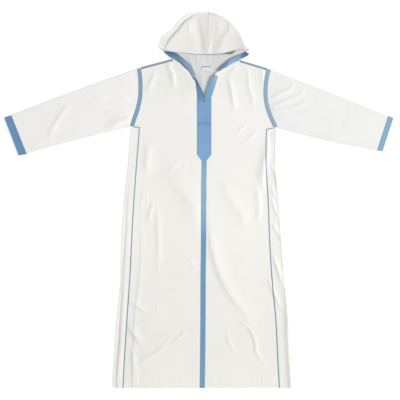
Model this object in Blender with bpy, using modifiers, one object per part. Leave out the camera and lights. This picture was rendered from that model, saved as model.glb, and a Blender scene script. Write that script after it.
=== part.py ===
"""Hooded thobe laid flat on its back: a full-length white cotton robe trimmed with blue tape.

Metres, +Z up. The garment lies on the plane z = 0, hood towards +Y and hem towards -Y, with
the origin in the middle of its outline. Left and right are those of someone looking down at it.
Every wall of cloth is an open surface of mid-points that Solidify gives its thickness.
"""
import math
from collections import namedtuple

import bpy
import numpy as np

# Thicknesses and heights of the layers
CLOTH = 0.0014
TAPE = 0.0010
SEAM_GAP = 0.0003
INSIDE_GAP = 0.0016
BACK_MID = CLOTH / 2
FRONT_MID = CLOTH + INSIDE_GAP + CLOTH / 2
FRONT_TOP = FRONT_MID + CLOTH / 2
FOLD_RADIUS = (FRONT_MID - BACK_MID) / 2
FOLD_OUTER = FOLD_RADIUS + CLOTH / 2
FOLD_STEPS = 4
TAPE_MID = FRONT_TOP + SEAM_GAP + TAPE / 2

# Widths of the trims
ARMHOLE_TAPE = 0.016
SHOULDER_TAPE = 0.008
SHOULDER_TAPE_START = 0.001
PIPING = 0.0035
CENTRE_BAND = 0.020
FACING_THICKNESS = 0.0020
HOOD_EDGE_STRIP = 0.014
HOOD_EDGE_SHOWS = 0.002
LABEL_WIDTH, LABEL_HEIGHT, LABEL_THICKNESS = 0.038, 0.018, 0.0010
LABEL_BELOW_SEAM = 0.010
LABEL_MIDDLE = 0.0286

# Greatest rise of the soft loft over the flat layer
SLEEVE_LOFT = 0.0018
HOOD_LOFT = 0.0020

# Over these widths the soft loft and the creases die away to the flat seams
SLEEVE_EASE = 0.045
HOOD_EASE = 0.030
CREASE_FADE = 0.014

# Where the gore's top lies beside the armhole's lower end
UNDERARM_GAP = 4 * SEAM_GAP
GORE_PAST_ARMHOLE = 0.0015
GORE_BELOW_ARMHOLE = 0.0035

# Fineness of the surfaces
ROW_STEP = 0.030
GORE_ROW_STEP = 0.060
FRONT_COLUMNS = 14
SLEEVE_ROWS = 18
CUFF_COLUMNS = 4
HOOD_COLUMNS = 7

# Below the underarm, from gore top to hem: where each fold and seam lies at that height
BodyRow = namedtuple("BodyRow", "y left_fold left_seam centre right_seam right_fold")
BODY = (
    BodyRow(0.158, -0.281, -0.249, 0.0200, 0.267, 0.304),
    BodyRow(-0.002, -0.298, -0.261, 0.0180, 0.276, 0.3175),
    BodyRow(-0.162, -0.309, -0.270, 0.0176, 0.282, 0.329),
    BodyRow(-0.322, -0.3135, -0.278, 0.0158, 0.292, 0.341),
    BodyRow(-0.482, -0.3285, -0.289, 0.0153, 0.307, 0.357),
    BodyRow(-0.642, -0.3395, -0.299, 0.0140, 0.315, 0.3725),
    BodyRow(-0.7515, -0.3455, -0.305, 0.0122, 0.321, 0.3765),
)

# Above the underarm, from shoulder to armhole end: the armhole, and the front edge across from it
YokeRow = namedtuple("YokeRow", "arm_x arm_y edge_x edge_y")
LEFT_YOKE = (
    YokeRow(-0.2412, 0.5280, -0.105, 0.564),
    YokeRow(-0.2376, 0.506, -0.080, 0.548),
    YokeRow(-0.2354, 0.483, -0.058, 0.528),
    YokeRow(-0.2346, 0.460, -0.034, 0.508),
    YokeRow(-0.2346, 0.438, -0.0175, 0.487),
    YokeRow(-0.2358, 0.416, -0.004, 0.454),
    YokeRow(-0.2394, 0.392, 0.020, 0.410),
    YokeRow(-0.2480, 0.357, 0.020, 0.367),
    YokeRow(-0.2590, 0.326, 0.020, 0.332),
    YokeRow(-0.2694, 0.2930, 0.020, 0.2955),
)
RIGHT_YOKE = (
    YokeRow(0.2800, 0.5240, 0.163, 0.5590),
    YokeRow(0.2738, 0.505, 0.140, 0.553),
    YokeRow(0.2692, 0.482, 0.114, 0.540),
    YokeRow(0.2666, 0.460, 0.086, 0.5220),
    YokeRow(0.2658, 0.438, 0.060, 0.5000),
    YokeRow(0.2660, 0.412, 0.050, 0.456),
    YokeRow(0.2700, 0.385, 0.020, 0.410),
    YokeRow(0.2790, 0.352, 0.020, 0.367),
    YokeRow(0.2930, 0.318, 0.020, 0.332),
    YokeRow(0.3070, 0.2895, 0.020, 0.2935),
)

# Corner where the top of each side gore meets the front panel
LEFT_GORE_CORNER = (-0.2385, 0.2905)
RIGHT_GORE_CORNER = (0.2695, 0.2830)

# Sleeve ends: upper and lower corner, and how far the middle of the upper and lower edge bows up
SleeveEnd = namedtuple("SleeveEnd", "upper_x upper_y lower_x lower_y upper_bow lower_bow")
LEFT_SLEEVE_END = SleeveEnd(-0.7518, 0.3390, -0.6900, 0.1840, 0.003, 0.003)
RIGHT_SLEEVE_END = SleeveEnd(0.7554, 0.3372, 0.7106, 0.1980, 0.003, -0.006)

# Cuff mouths: upper and lower corner
CuffMouth = namedtuple("CuffMouth", "upper_x upper_y lower_x lower_y")
LEFT_CUFF_MOUTH = CuffMouth(-0.7800, 0.3306, -0.7218, 0.1778)
RIGHT_CUFF_MOUTH = CuffMouth(0.7770, 0.3288, 0.7338, 0.1955)

# Hood from its centre seam to its side corner: front edge, fold and neck seam on each line
HoodLine = namedtuple("HoodLine", "edge_x edge_y fold_x fold_y neck_x neck_y")
HOOD_CENTRE = HoodLine(0.0340, 0.5828, 0.0345, 0.7538, 0.0320, 0.5448)
LEFT_HOOD = (
    HOOD_CENTRE,
    HoodLine(0.0010, 0.5830, -0.0090, 0.7535, 0.0090, 0.5452),
    HoodLine(-0.0234, 0.5850, -0.0440, 0.7450, -0.0090, 0.5460),
    HoodLine(-0.0510, 0.5875, -0.0665, 0.7285, -0.0270, 0.5476),
    HoodLine(-0.0750, 0.5905, -0.0880, 0.7090, -0.0430, 0.5492),
    HoodLine(-0.0950, 0.5920, -0.1010, 0.6900, -0.0580, 0.5508),
    HoodLine(-0.1110, 0.5944, -0.1250, 0.6700, -0.0710, 0.5526),
    HoodLine(-0.1230, 0.5964, -0.1470, 0.6520, -0.0820, 0.5544),
    HoodLine(-0.1318, 0.5980, -0.1560, 0.6320, -0.0920, 0.5564),
    HoodLine(-0.1378, 0.5988, -0.1625, 0.6090, -0.0975, 0.5600),
)
RIGHT_HOOD = (
    HOOD_CENTRE,
    HoodLine(0.0530, 0.5830, 0.0660, 0.7460, 0.0490, 0.5452),
    HoodLine(0.0770, 0.5848, 0.0990, 0.7310, 0.0670, 0.5460),
    HoodLine(0.0970, 0.5872, 0.1240, 0.7130, 0.0850, 0.5476),
    HoodLine(0.1150, 0.5908, 0.1420, 0.6940, 0.1020, 0.5488),
    HoodLine(0.1310, 0.5956, 0.1570, 0.6750, 0.1180, 0.5500),
    HoodLine(0.1450, 0.5996, 0.1700, 0.6550, 0.1310, 0.5510),
    HoodLine(0.1590, 0.6020, 0.1790, 0.6350, 0.1410, 0.5520),
    HoodLine(0.1700, 0.6028, 0.1870, 0.6190, 0.1490, 0.5530),
    HoodLine(0.1790, 0.6016, 0.2020, 0.6010, 0.1550, 0.5560),
)

# Blue facing of the hood's turned-out edge, from hood corner to the top of the placket
FacingRow = namedtuple("FacingRow", "outer_x outer_y inner_x inner_y mid_z")
LEFT_FACING = (
    FacingRow(-0.1422, 0.5916, -0.1350, 0.5950, 0.0028),
    FacingRow(-0.1285, 0.5812, -0.1110, 0.5925, 0.0040),
    FacingRow(-0.1130, 0.5690, -0.0890, 0.5858, 0.0058),
    FacingRow(-0.0950, 0.5628, -0.0740, 0.5736, 0.0058),
    FacingRow(-0.0775, 0.5552, -0.0630, 0.5648, 0.0058),
    FacingRow(-0.0630, 0.5384, -0.0475, 0.5512, 0.0058),
    FacingRow(-0.0508, 0.5252, -0.0335, 0.5376, 0.0058),
    FacingRow(-0.0392, 0.5108, -0.0250, 0.5180, 0.0058),
    FacingRow(-0.0296, 0.4964, -0.0176, 0.5012, 0.0058),
    FacingRow(-0.0252, 0.4850, -0.0158, 0.4888, 0.0058),
)
RIGHT_FACING = (
    FacingRow(0.2002, 0.5852, 0.1830, 0.5944, 0.0028),
    FacingRow(0.1910, 0.5756, 0.1728, 0.5872, 0.0040),
    FacingRow(0.1710, 0.5660, 0.1505, 0.5774, 0.0058),
    FacingRow(0.1490, 0.5540, 0.1265, 0.5664, 0.0058),
    FacingRow(0.1250, 0.5412, 0.1065, 0.5520, 0.0058),
    FacingRow(0.1050, 0.5292, 0.0905, 0.5380, 0.0058),
    FacingRow(0.0890, 0.5204, 0.0800, 0.5262, 0.0058),
    FacingRow(0.0800, 0.5140, 0.0750, 0.5180, 0.0058),
)

# Outline of the placket: arms up both sides of the neck slit, and a pointed foot
PLACKET_LEFT_ARM_OUTER = ((-0.0094, 0.4300), (-0.0136, 0.4620), (-0.0172, 0.4780))
PLACKET_TOP_LEFT = ((-0.0246, 0.4843), (-0.0154, 0.4880))
PLACKET_LEFT_ARM_INNER = ((-0.0090, 0.4780), (-0.0010, 0.4620), (0.0124, 0.4340))
PLACKET_SLIT_FOOT = (0.0200, 0.4080)
PLACKET_RIGHT_ARM_INNER = ((0.0262, 0.4280), (0.0340, 0.4520), (0.0476, 0.4880))
PLACKET_TOP_RIGHT = ((0.0606, 0.5000), (0.0742, 0.4932))
PLACKET_RIGHT_ARM_OUTER = ((0.0650, 0.4608), (0.0562, 0.4340))
PLACKET_LEFT, PLACKET_RIGHT = -0.0084, 0.0484
PLACKET_ARMS_BEGIN = 0.4110
PLACKET_CORNER, PLACKET_FOOT = 0.1820, 0.1570

# Creases: a soft ridge from one point to another, its height and half width
Crease = namedtuple("Crease", "x0 y0 x1 y1 height half_width")
BODY_CREASES = (
    Crease(0.050, -0.120, 0.110, -0.300, 0.0040, 0.014),
    Crease(0.110, -0.300, 0.205, -0.520, 0.0034, 0.013),
    Crease(0.110, 0.070, 0.235, -0.150, 0.0032, 0.020),
    Crease(-0.176, 0.000, -0.170, -0.270, 0.0034, 0.013),
    Crease(-0.120, -0.030, -0.135, -0.330, 0.0020, 0.012),
    Crease(-0.250, -0.640, -0.085, -0.540, 0.0026, 0.013),
    Crease(-0.265, -0.430, -0.180, -0.470, 0.0024, 0.010),
    Crease(0.100, -0.520, 0.160, -0.640, 0.0026, 0.011),
    Crease(0.185, -0.520, 0.285, -0.680, 0.0028, 0.012),
    Crease(0.120, 0.470, 0.135, 0.340, 0.0026, 0.013),
    Crease(0.185, 0.460, 0.215, 0.350, 0.0022, 0.013),
    Crease(-0.118, 0.520, -0.098, 0.400, 0.0024, 0.014),
    Crease(-0.190, 0.470, -0.205, 0.390, 0.0018, 0.012),
    Crease(0.150, 0.240, 0.205, 0.310, 0.0020, 0.011),
    Crease(-0.210, 0.180, -0.205, 0.080, 0.0022, 0.016),
)
LEFT_SLEEVE_CREASES = (
    Crease(-0.580, 0.250, -0.510, 0.400, 0.0030, 0.016),
    Crease(-0.500, 0.430, -0.370, 0.400, 0.0024, 0.014),
    Crease(-0.400, 0.300, -0.290, 0.360, 0.0030, 0.016),
    Crease(-0.650, 0.300, -0.600, 0.340, 0.0018, 0.014),
)
RIGHT_SLEEVE_CREASES = (
    Crease(0.330, 0.390, 0.430, 0.450, 0.0030, 0.015),
    Crease(0.350, 0.350, 0.470, 0.400, 0.0026, 0.014),
    Crease(0.520, 0.300, 0.640, 0.330, 0.0018, 0.014),
)
HOOD_CREASES = (
    Crease(-0.012, 0.738, -0.002, 0.600, 0.0028, 0.013),
    Crease(0.060, 0.600, 0.118, 0.690, 0.0024, 0.014),
    Crease(0.152, 0.690, 0.104, 0.600, 0.0022, 0.012),
    Crease(-0.060, 0.700, -0.048, 0.610, 0.0016, 0.012),
    Crease(-0.134, 0.590, -0.088, 0.682, -0.0012, 0.008),
    Crease(-0.104, 0.664, -0.014, 0.745, -0.0012, 0.008),
)


def linear(channel):
    """One sRGB channel, 0 to 255, as the linear value that Blender stores."""
    value = channel / 255
    if value <= 0.04045:
        return value / 12.92
    return ((value + 0.055) / 1.055) ** 2.4


def cotton(name, red, green, blue, roughness):
    made = bpy.data.materials.new(name)
    made.use_nodes = True
    shader = made.node_tree.nodes["Principled BSDF"]
    shader.inputs["Base Color"].default_value = (linear(red), linear(green), linear(blue), 1)
    shader.inputs["Roughness"].default_value = roughness
    shader.inputs["Metallic"].default_value = 0
    return made


def smooth(value):
    """0 below 0, 1 above 1, and an easy slope between."""
    t = min(1.0, max(0.0, value))
    return t * t * (3 - 2 * t)


def between(a, b, share):
    return tuple(p + (q - p) * share for p, q in zip(a, b))


def towards(a, b, distance):
    """The point that lies a distance from a on the way to b."""
    return between(a, b, distance / math.dist(a, b))


def relief(x, y, creases):
    """Rise of the cloth over its flat height at a point, from the creases near it."""
    rise = 0.0
    for c in creases:
        along = np.array((c.x1 - c.x0, c.y1 - c.y0))
        length = np.linalg.norm(along)
        offset = np.array((x - c.x0, y - c.y0))
        share = float(offset @ along) / length**2
        if not 0 < share < 1:
            continue
        away = (offset[0] * along[1] - offset[1] * along[0]) / length
        rise += c.height * math.sin(math.pi * share) * math.exp(-((away / c.half_width) ** 2))
    return rise


def collection_of(name):
    made = bpy.data.collections.new(name)
    bpy.context.scene.collection.children.link(made)
    return made


def wall(name, grid, material, thickness, closed=False):
    """A wall of cloth round a grid of mid-points, grid[row][column].

    closed joins the last column to the first."""
    columns = len(grid[0])
    points = [tuple(point) for row in grid for point in row]
    faces = []
    for row in range(len(grid) - 1):
        for column in range(columns if closed else columns - 1):
            after = (column + 1) % columns
            start = row * columns
            faces.append((start + column, start + after, start + columns + after, start + columns + column))
    mesh = bpy.data.meshes.new(name)
    mesh.from_pydata(points, [], faces)
    mesh.shade_smooth()
    mesh.materials.append(material)
    made = bpy.data.objects.new(name, mesh)
    garment.objects.link(made)
    solidify = made.modifiers.new("Thickness", "SOLIDIFY")
    solidify.thickness = thickness
    solidify.offset = 0
    solidify.use_even_offset = True


def plate(name, outline, material, thickness, mid_z):
    """A flat piece of cloth cut to an outline."""
    curve = bpy.data.curves.new(name, "CURVE")
    curve.dimensions = "2D"
    curve.fill_mode = "BOTH"
    curve.extrude = thickness / 2
    spline = curve.splines.new("POLY")
    spline.points.add(len(outline) - 1)
    for point, (x, y) in zip(spline.points, outline):
        point.co = (x, y, 0, 1)
    spline.use_cyclic_u = True
    curve.materials.append(material)
    made = bpy.data.objects.new(name, curve)
    made.location.z = mid_z
    garment.objects.link(made)


def sides_of(path, width):
    """The points of a flat path moved half a width to its left and to its right."""
    points = np.array(path)
    steps = np.diff(points, axis=0)
    steps /= np.linalg.norm(steps, axis=1)[:, None]
    normals = np.stack((-steps[:, 1], steps[:, 0]), axis=1)
    before, after = np.vstack((normals[:1], normals)), np.vstack((normals, normals[-1:]))
    mitre = before + after
    mitre /= (1 + (before * after).sum(1))[:, None]
    return points + mitre * width / 2, points - mitre * width / 2


def tape(name, path, width):
    """A flat blue tape along a path, on top of the front."""
    left, right = sides_of(path, width)
    wall(name, [((*a, TAPE_MID), (*b, TAPE_MID)) for a, b in zip(left, right)], blue, TAPE)


def stepped(rows, step):
    """Rows of paired points, with more rows between so that none are further apart than a step."""
    made = [rows[0]]
    for a, b in zip(rows, rows[1:]):
        furthest = max(math.dist(p, q) for p, q in zip(a, b))
        count = max(1, round(furthest / step))
        for n in range(1, count + 1):
            made.append(tuple(between(p, q, n / count) for p, q in zip(a, b)))
    return made


def armhole_end(side):
    return side.yoke[-1].arm_x, side.yoke[-1].arm_y


def seam_at(row, side):
    return getattr(row, side.name + "_seam")


def armhole_points(side):
    """The body's side of the armhole seam, from the shoulder line down to just short of the gore."""
    points = [(row.arm_x - side.sign * SEAM_GAP / 2, row.arm_y) for row in side.yoke]
    points[-1] = towards(points[-1], points[-2], UNDERARM_GAP)
    return points


def front_rows(side):
    """Pairs of inner and outer points of a front half, from the shoulder down to the hem."""
    gap = side.sign * SEAM_GAP / 2
    slit_x = side.yoke[-1].edge_x
    corner_x, corner_y = side.gore_corner
    rows = []
    for row, arm_point in zip(side.yoke, armhole_points(side)):
        edge_x = row.edge_x + gap if row.edge_x == slit_x else row.edge_x
        rows.append(((edge_x, row.edge_y), arm_point))
    rows.append(((slit_x + gap, corner_y), (corner_x - gap, corner_y + SEAM_GAP / 2)))
    for row in BODY:
        rows.append(((row.centre + gap, row.y), (seam_at(row, side) - gap, row.y)))
    return stepped(rows, ROW_STEP)


def trim_reach(y):
    """Half width of the blue trim on the centre line at that height."""
    return PLACKET_RIGHT - BODY[0].centre if y > PLACKET_FOOT else CENTRE_BAND / 2


def shoulder_normal(side):
    """Unit vector in plan, square to the shoulder line and away from the body."""
    along = np.array(side.yoke[0][:2]) - np.array(side.yoke[0][2:])
    return np.array((-along[1], along[0])) / np.linalg.norm(along) * side.sign


def inside_shoulder(side, start, onward, inset):
    """The point that is an inset below the shoulder line, on the way from a point of that line to another."""
    down = np.array(onward) - np.array(start)
    return np.array(start) - down / (down @ shoulder_normal(side)) * inset


def front(side):
    """Half of the front, from centre line to armhole and gore seam, curled under at the shoulder."""
    grid = []
    for inner, outer in front_rows(side):
        row = []
        width = math.dist(inner, outer)
        for share in np.linspace(0, 1, FRONT_COLUMNS + 1):
            x, y = between(inner, outer, share)
            below_shoulder = (np.array(side.yoke[0][:2]) - (x, y)) @ shoulder_normal(side)
            clear = min(
                width * share - trim_reach(y),
                width * (1 - share) - ARMHOLE_TAPE / 2,
                below_shoulder - SHOULDER_TAPE,
            )
            rise = smooth(clear / CREASE_FADE) * relief(x, y, BODY_CREASES)
            row.append((x, y, FRONT_MID + rise))
        grid.append(row)
    curled = []
    for angle in np.linspace(-math.pi / 2, math.pi / 2, FOLD_STEPS + 1):
        inset = FOLD_OUTER - FOLD_RADIUS * math.cos(angle)
        z = FOLD_OUTER + FOLD_RADIUS * math.sin(angle)
        curled.append([
            (*inside_shoulder(side, edge[:2], below[:2], inset), z)
            for edge, below in zip(grid[0], grid[1])
        ])
    wall("front_" + side.name, curled + grid[1:], white, CLOTH)


def fold_arc(centre, outward):
    """The points of a fold from the upper layer to the lower one, turning outwards."""
    made = []
    for step in range(1, FOLD_STEPS):
        angle = math.pi * step / FOLD_STEPS
        place = np.array(centre) + np.array(outward) * FOLD_RADIUS * math.sin(angle)
        made.append((*place, FOLD_OUTER + FOLD_RADIUS * math.cos(angle)))
    return made


def gore(side):
    """A side gore folded in two: back seam, along the floor, round the side fold, to the front seam."""
    outward = np.array((side.sign, 0.0))
    gap = side.sign * SEAM_GAP / 2
    corner_x, corner_y = side.gore_corner
    arm_x, arm_y = armhole_end(side)
    top_seam = (corner_x + gap, corner_y - SEAM_GAP / 2)
    top_fold = (arm_x + side.sign * GORE_PAST_ARMHOLE, arm_y - GORE_BELOW_ARMHOLE)
    rows = [(top_seam, top_fold)]
    for row in BODY:
        rows.append(((seam_at(row, side) + gap, row.y), (getattr(row, side.name + "_fold"), row.y)))
    grid = []
    for seam, fold in stepped(rows, GORE_ROW_STEP):
        turn = np.array(fold) - outward * FOLD_OUTER
        line = [(*seam, BACK_MID), (*turn, BACK_MID)]
        line += fold_arc(turn, outward)[::-1]
        line += [(*turn, FRONT_MID), (*seam, FRONT_MID)]
        grid.append(line)
    wall("gore_" + side.name, grid, white, CLOTH)


def sleeve_section(side, share):
    """Plan points across the sleeve at a share of its length, from the curved armhole to the straight cuff."""
    gap = side.sign * SEAM_GAP / 2
    end = side.sleeve_end
    shoulder = (side.yoke[0].arm_x + gap, side.yoke[0].arm_y)
    underarm = (side.yoke[-1].arm_x + gap, side.yoke[-1].arm_y)
    upper = between(shoulder, (end.upper_x, end.upper_y), share)
    lower = between(underarm, (end.lower_x, end.lower_y), share)
    middle = 4 * share * (1 - share)
    places = []
    for row in side.yoke:
        down = (shoulder[1] - row.arm_y) / (shoulder[1] - underarm[1])
        curve = (row.arm_x + gap - between(shoulder, underarm, down)[0]) * (1 - share) ** 2
        bow = (end.upper_bow + (end.lower_bow - end.upper_bow) * down) * middle
        x, y = between(upper, lower, down)
        places.append(np.array((x + curve, y + bow)))
    return places


def sleeve(side):
    """A sleeve as a flattened tube from the armhole to the cuff."""
    reach = math.dist(side.yoke[0][:2], side.sleeve_end[:2])
    grid = []
    for share in np.linspace(0, 1, SLEEVE_ROWS + 1):
        places = sleeve_section(side, share)
        up = (places[0] - places[1]) / np.linalg.norm(places[0] - places[1])
        down = (places[-1] - places[-2]) / np.linalg.norm(places[-1] - places[-2])
        first, last = places[0] - up * FOLD_OUTER, places[-1] - down * FOLD_OUTER
        plan = [first, *places[1:-1], last]
        ends = smooth((share * reach - ARMHOLE_TAPE) / SLEEVE_EASE)
        ends *= smooth((1 - share) * reach / SLEEVE_EASE)
        top = []
        for column, (x, y) in enumerate(plan):
            across = math.sin(math.pi * column / (len(plan) - 1))
            rise = across * (SLEEVE_LOFT + relief(x, y, side.sleeve_creases))
            top.append((x, y, FRONT_MID + ends * rise))
        bottom = [(*place, BACK_MID) for place in plan[::-1]]
        grid.append(top + fold_arc(last, down) + bottom + fold_arc(first, up)[::-1])
    wall("sleeve_" + side.name, grid, white, CLOTH, closed=True)


def cuff(side):
    """The blue band that ends a sleeve, a flattened ring."""
    end, mouth = side.sleeve_end, side.cuff_mouth
    length = math.dist(end[:2], mouth[:2])
    grid = []
    for share in (SEAM_GAP / length, 0.5, 1):
        upper = np.array(between(end[:2], mouth[:2], share))
        lower = np.array(between(end[2:4], mouth[2:], share))
        down = (lower - upper) / np.linalg.norm(lower - upper)
        first, last = upper + down * FOLD_OUTER, lower - down * FOLD_OUTER
        across = [between(first, last, t) for t in np.linspace(0, 1, CUFF_COLUMNS + 1)]
        top = [(*place, FRONT_MID) for place in across]
        bottom = [(*place, BACK_MID) for place in across[::-1]]
        grid.append(top + fold_arc(last, down) + bottom + fold_arc(first, -down)[::-1])
    wall("cuff_" + side.name, grid, blue, CLOTH, closed=True)


def hood(side):
    """Half of the hood: from its front edge over the crown fold and back under to the neck seam."""
    corner = np.array(side.hood[-1][:2])
    grid = []
    for line in side.hood:
        seam = np.array((side.sign * SEAM_GAP / 2 if line is HOOD_CENTRE else 0, 0.0))
        edge, fold = np.array(line[:2]) + seam, np.array(line[2:4]) + seam
        neck = np.array(line[4:]) + seam + np.array((0, SEAM_GAP / 2))
        outward = (fold - edge) / np.linalg.norm(fold - edge)
        turn = fold - outward * FOLD_OUTER
        row = []
        for share in np.linspace(0, 1, HOOD_COLUMNS + 1):
            place = between(edge, turn, share)
            clear = min(math.dist(place, edge), math.dist(place, turn), math.dist(place, corner))
            rise = HOOD_LOFT * math.sin(math.pi * share) + relief(*place, HOOD_CREASES)
            row.append((*place, FRONT_MID + smooth(clear / HOOD_EASE) * rise))
        row += fold_arc(turn, outward)
        row += [(*between(turn, neck, share), BACK_MID) for share in (0, 0.5, 1)]
        grid.append(row)
    wall("hood_" + side.name, grid, white, CLOTH)


def back_side(side):
    """One side of the back panel's outline, from the hem up to the end of the shoulder seam."""
    gap = side.sign * SEAM_GAP / 2
    inset = FOLD_OUTER + SEAM_GAP
    points = [(seam_at(row, side) - gap, row.y) for row in BODY[::-1]]
    points.append((side.gore_corner[0] - gap, side.gore_corner[1] + SEAM_GAP / 2))
    armhole = armhole_points(side)
    armhole[0] = inside_shoulder(side, armhole[0], armhole[1], inset)
    neck_point = np.array(side.yoke[0][2:]) - shoulder_normal(side) * inset
    return [*points, *armhole[::-1], neck_point]


def back():
    """The back panel, a seam gap inside the gores, sleeves and hood."""
    neck = [(line.neck_x, line.neck_y - SEAM_GAP / 2) for line in LEFT.hood[:0:-1] + RIGHT.hood]
    plate("back", back_side(LEFT) + neck + back_side(RIGHT)[::-1], white, CLOTH, BACK_MID)


def placket():
    """The placket, up one arm, down into the slit, up the other and round its pointed foot."""
    half = CENTRE_BAND / 2
    centre = BODY[0].centre
    outline = (
        (PLACKET_LEFT, PLACKET_ARMS_BEGIN),
        *PLACKET_LEFT_ARM_OUTER,
        *PLACKET_TOP_LEFT,
        *PLACKET_LEFT_ARM_INNER,
        PLACKET_SLIT_FOOT,
        *PLACKET_RIGHT_ARM_INNER,
        *PLACKET_TOP_RIGHT,
        *PLACKET_RIGHT_ARM_OUTER,
        (PLACKET_RIGHT, PLACKET_ARMS_BEGIN),
        (PLACKET_RIGHT, PLACKET_CORNER),
        (centre + half, PLACKET_FOOT),
        (centre - half, PLACKET_FOOT),
        (PLACKET_LEFT, PLACKET_CORNER),
    )
    plate("placket", outline, blue, TAPE, TAPE_MID)


def centre_band():
    """The tape that runs from the placket's foot down the centre line to the hem."""
    path = [(BODY[0].centre, PLACKET_FOOT - SEAM_GAP)]
    path += [(row.centre, row.y) for row in BODY[1:]]
    tape("centre_band", path, CENTRE_BAND)


def shoulder_tape(side):
    """The tape on a shoulder seam, wrapped over the fold and down to the floor side."""
    arm, neck = np.array(side.yoke[0][:2]), np.array(side.yoke[0][2:])
    radius = FOLD_OUTER + SEAM_GAP + TAPE / 2
    section = [(-SHOULDER_TAPE, TAPE_MID), (-FOLD_OUTER, TAPE_MID)]
    for angle in np.radians((30, 60, 90)):
        section.append((radius * math.sin(angle) - FOLD_OUTER, FOLD_OUTER + radius * math.cos(angle)))
    section.append((radius - FOLD_OUTER, SEAM_GAP))
    grid = []
    for end in (towards(neck, arm, SHOULDER_TAPE_START), towards(arm, neck, ARMHOLE_TAPE / 2 + TAPE)):
        grid.append([(*(np.array(end) + shoulder_normal(side) * out), z) for out, z in section])
    wall("shoulder_tape_" + side.name, grid, blue, TAPE)


def armhole_tape(side):
    """The tape over the armhole seam, stopped short of the shoulder fold and of the gore."""
    path = [row[:2] for row in side.yoke]
    path[0] = towards(path[0], path[1], FOLD_OUTER)
    path[-1] = towards(path[-1], path[-2], FOLD_OUTER)
    tape("armhole_tape_" + side.name, path, ARMHOLE_TAPE)


def piping(side):
    """The narrow tape along the top of a gore and down its front seam to the hem."""
    start = towards(armhole_end(side), side.gore_corner, ARMHOLE_TAPE / 2 + TAPE)
    path = [start, side.gore_corner] + [(seam_at(row, side), row.y) for row in BODY]
    tape("piping_" + side.name, path, PIPING)


def hood_facing(side):
    """The facing of the hood's edge where it is turned out beside the neck."""
    grid = [((r.outer_x, r.outer_y, r.mid_z), (r.inner_x, r.inner_y, r.mid_z)) for r in side.facing]
    wall("hood_facing_" + side.name, grid, blue, FACING_THICKNESS)


def hood_facing_top():
    """The facing inside the hood's upper edge, whose rim shows as a thin line under it."""
    mid_z = CLOTH + INSIDE_GAP / 2
    grid = []
    for line in LEFT.hood[5:0:-1] + RIGHT.hood[:7]:
        rim = (line.edge_x, line.edge_y - HOOD_EDGE_SHOWS, mid_z)
        grid.append((rim, (line.edge_x, line.edge_y + HOOD_EDGE_STRIP, mid_z)))
    wall("hood_facing_top", grid, blue, INSIDE_GAP - 2 * SEAM_GAP)


def neck_label():
    """The bare label sewn inside the back, below the neck seam."""
    middle, half = LABEL_MIDDLE, LABEL_WIDTH / 2
    top = HOOD_CENTRE.neck_y - LABEL_BELOW_SEAM
    foot = top - LABEL_HEIGHT
    outline = ((middle - half, top), (middle + half, top), (middle + half, foot), (middle - half, foot))
    mid_z = CLOTH + SEAM_GAP + LABEL_THICKNESS / 2
    plate("neck_label", outline, label_white, LABEL_THICKNESS, mid_z)


Side = namedtuple("Side", "name sign yoke gore_corner sleeve_end cuff_mouth sleeve_creases hood facing")
LEFT = Side(
    "left", -1, LEFT_YOKE, LEFT_GORE_CORNER, LEFT_SLEEVE_END, LEFT_CUFF_MOUTH, LEFT_SLEEVE_CREASES,
    LEFT_HOOD, LEFT_FACING,
)
RIGHT = Side(
    "right", 1, RIGHT_YOKE, RIGHT_GORE_CORNER, RIGHT_SLEEVE_END, RIGHT_CUFF_MOUTH, RIGHT_SLEEVE_CREASES,
    RIGHT_HOOD, RIGHT_FACING,
)

for old in list(bpy.data.objects):
    bpy.data.objects.remove(old, do_unlink=True)
garment = collection_of("Hooded thobe")
white = cotton("White cotton", 240, 239, 235, 0.9)
blue = cotton("Blue cotton", 129, 168, 205, 0.85)
label_white = cotton("Label", 246, 246, 246, 0.6)

back()
for half in (LEFT, RIGHT):
    front(half)
    gore(half)
    sleeve(half)
    cuff(half)
    hood(half)
    hood_facing(half)
    armhole_tape(half)
    shoulder_tape(half)
    piping(half)
hood_facing_top()
placket()
centre_band()
neck_label()
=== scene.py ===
"""Looks of the hooded thobe laid flat: fine shells of cloth on the solids, with their creases and sewing.

Metres, and millimetres in tables of places; +Z up, +Y to the hood; left and right as seen from above. Each
piece of cloth is one closed shell round a grid of points on its middle.
"""
import math
from collections import namedtuple

import bpy
import numpy as np
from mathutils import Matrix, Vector


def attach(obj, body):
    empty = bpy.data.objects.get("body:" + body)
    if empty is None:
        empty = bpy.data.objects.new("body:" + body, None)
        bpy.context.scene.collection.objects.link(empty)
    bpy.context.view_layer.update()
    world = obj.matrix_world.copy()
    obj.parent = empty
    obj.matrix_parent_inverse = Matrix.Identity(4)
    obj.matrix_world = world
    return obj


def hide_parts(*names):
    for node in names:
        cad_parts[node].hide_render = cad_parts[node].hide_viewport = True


# Heights of the layers over the table, and thicknesses
BACK_MID, FRONT_MID = 0.0007, 0.0037
CLOTH, TAPE, FACING, LABEL = 0.0012, 0.0010, 0.0016, 0.0008
SEAM_GAP = 0.0003
FOLD_RADIUS, FOLD_OUTER, FOLD_STEPS = 0.0015, 0.0022, 6
LOWEST_FRONT = BACK_MID + CLOTH + SEAM_GAP
TAPE_OVER = CLOTH / 2 + 0.0001 + TAPE / 2
UNDER_ROW = BACK_MID - CLOTH / 2 + 0.0001
INSIDE_MID = 0.0022
MOST_UNDER_RISE = 0.0013

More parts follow.
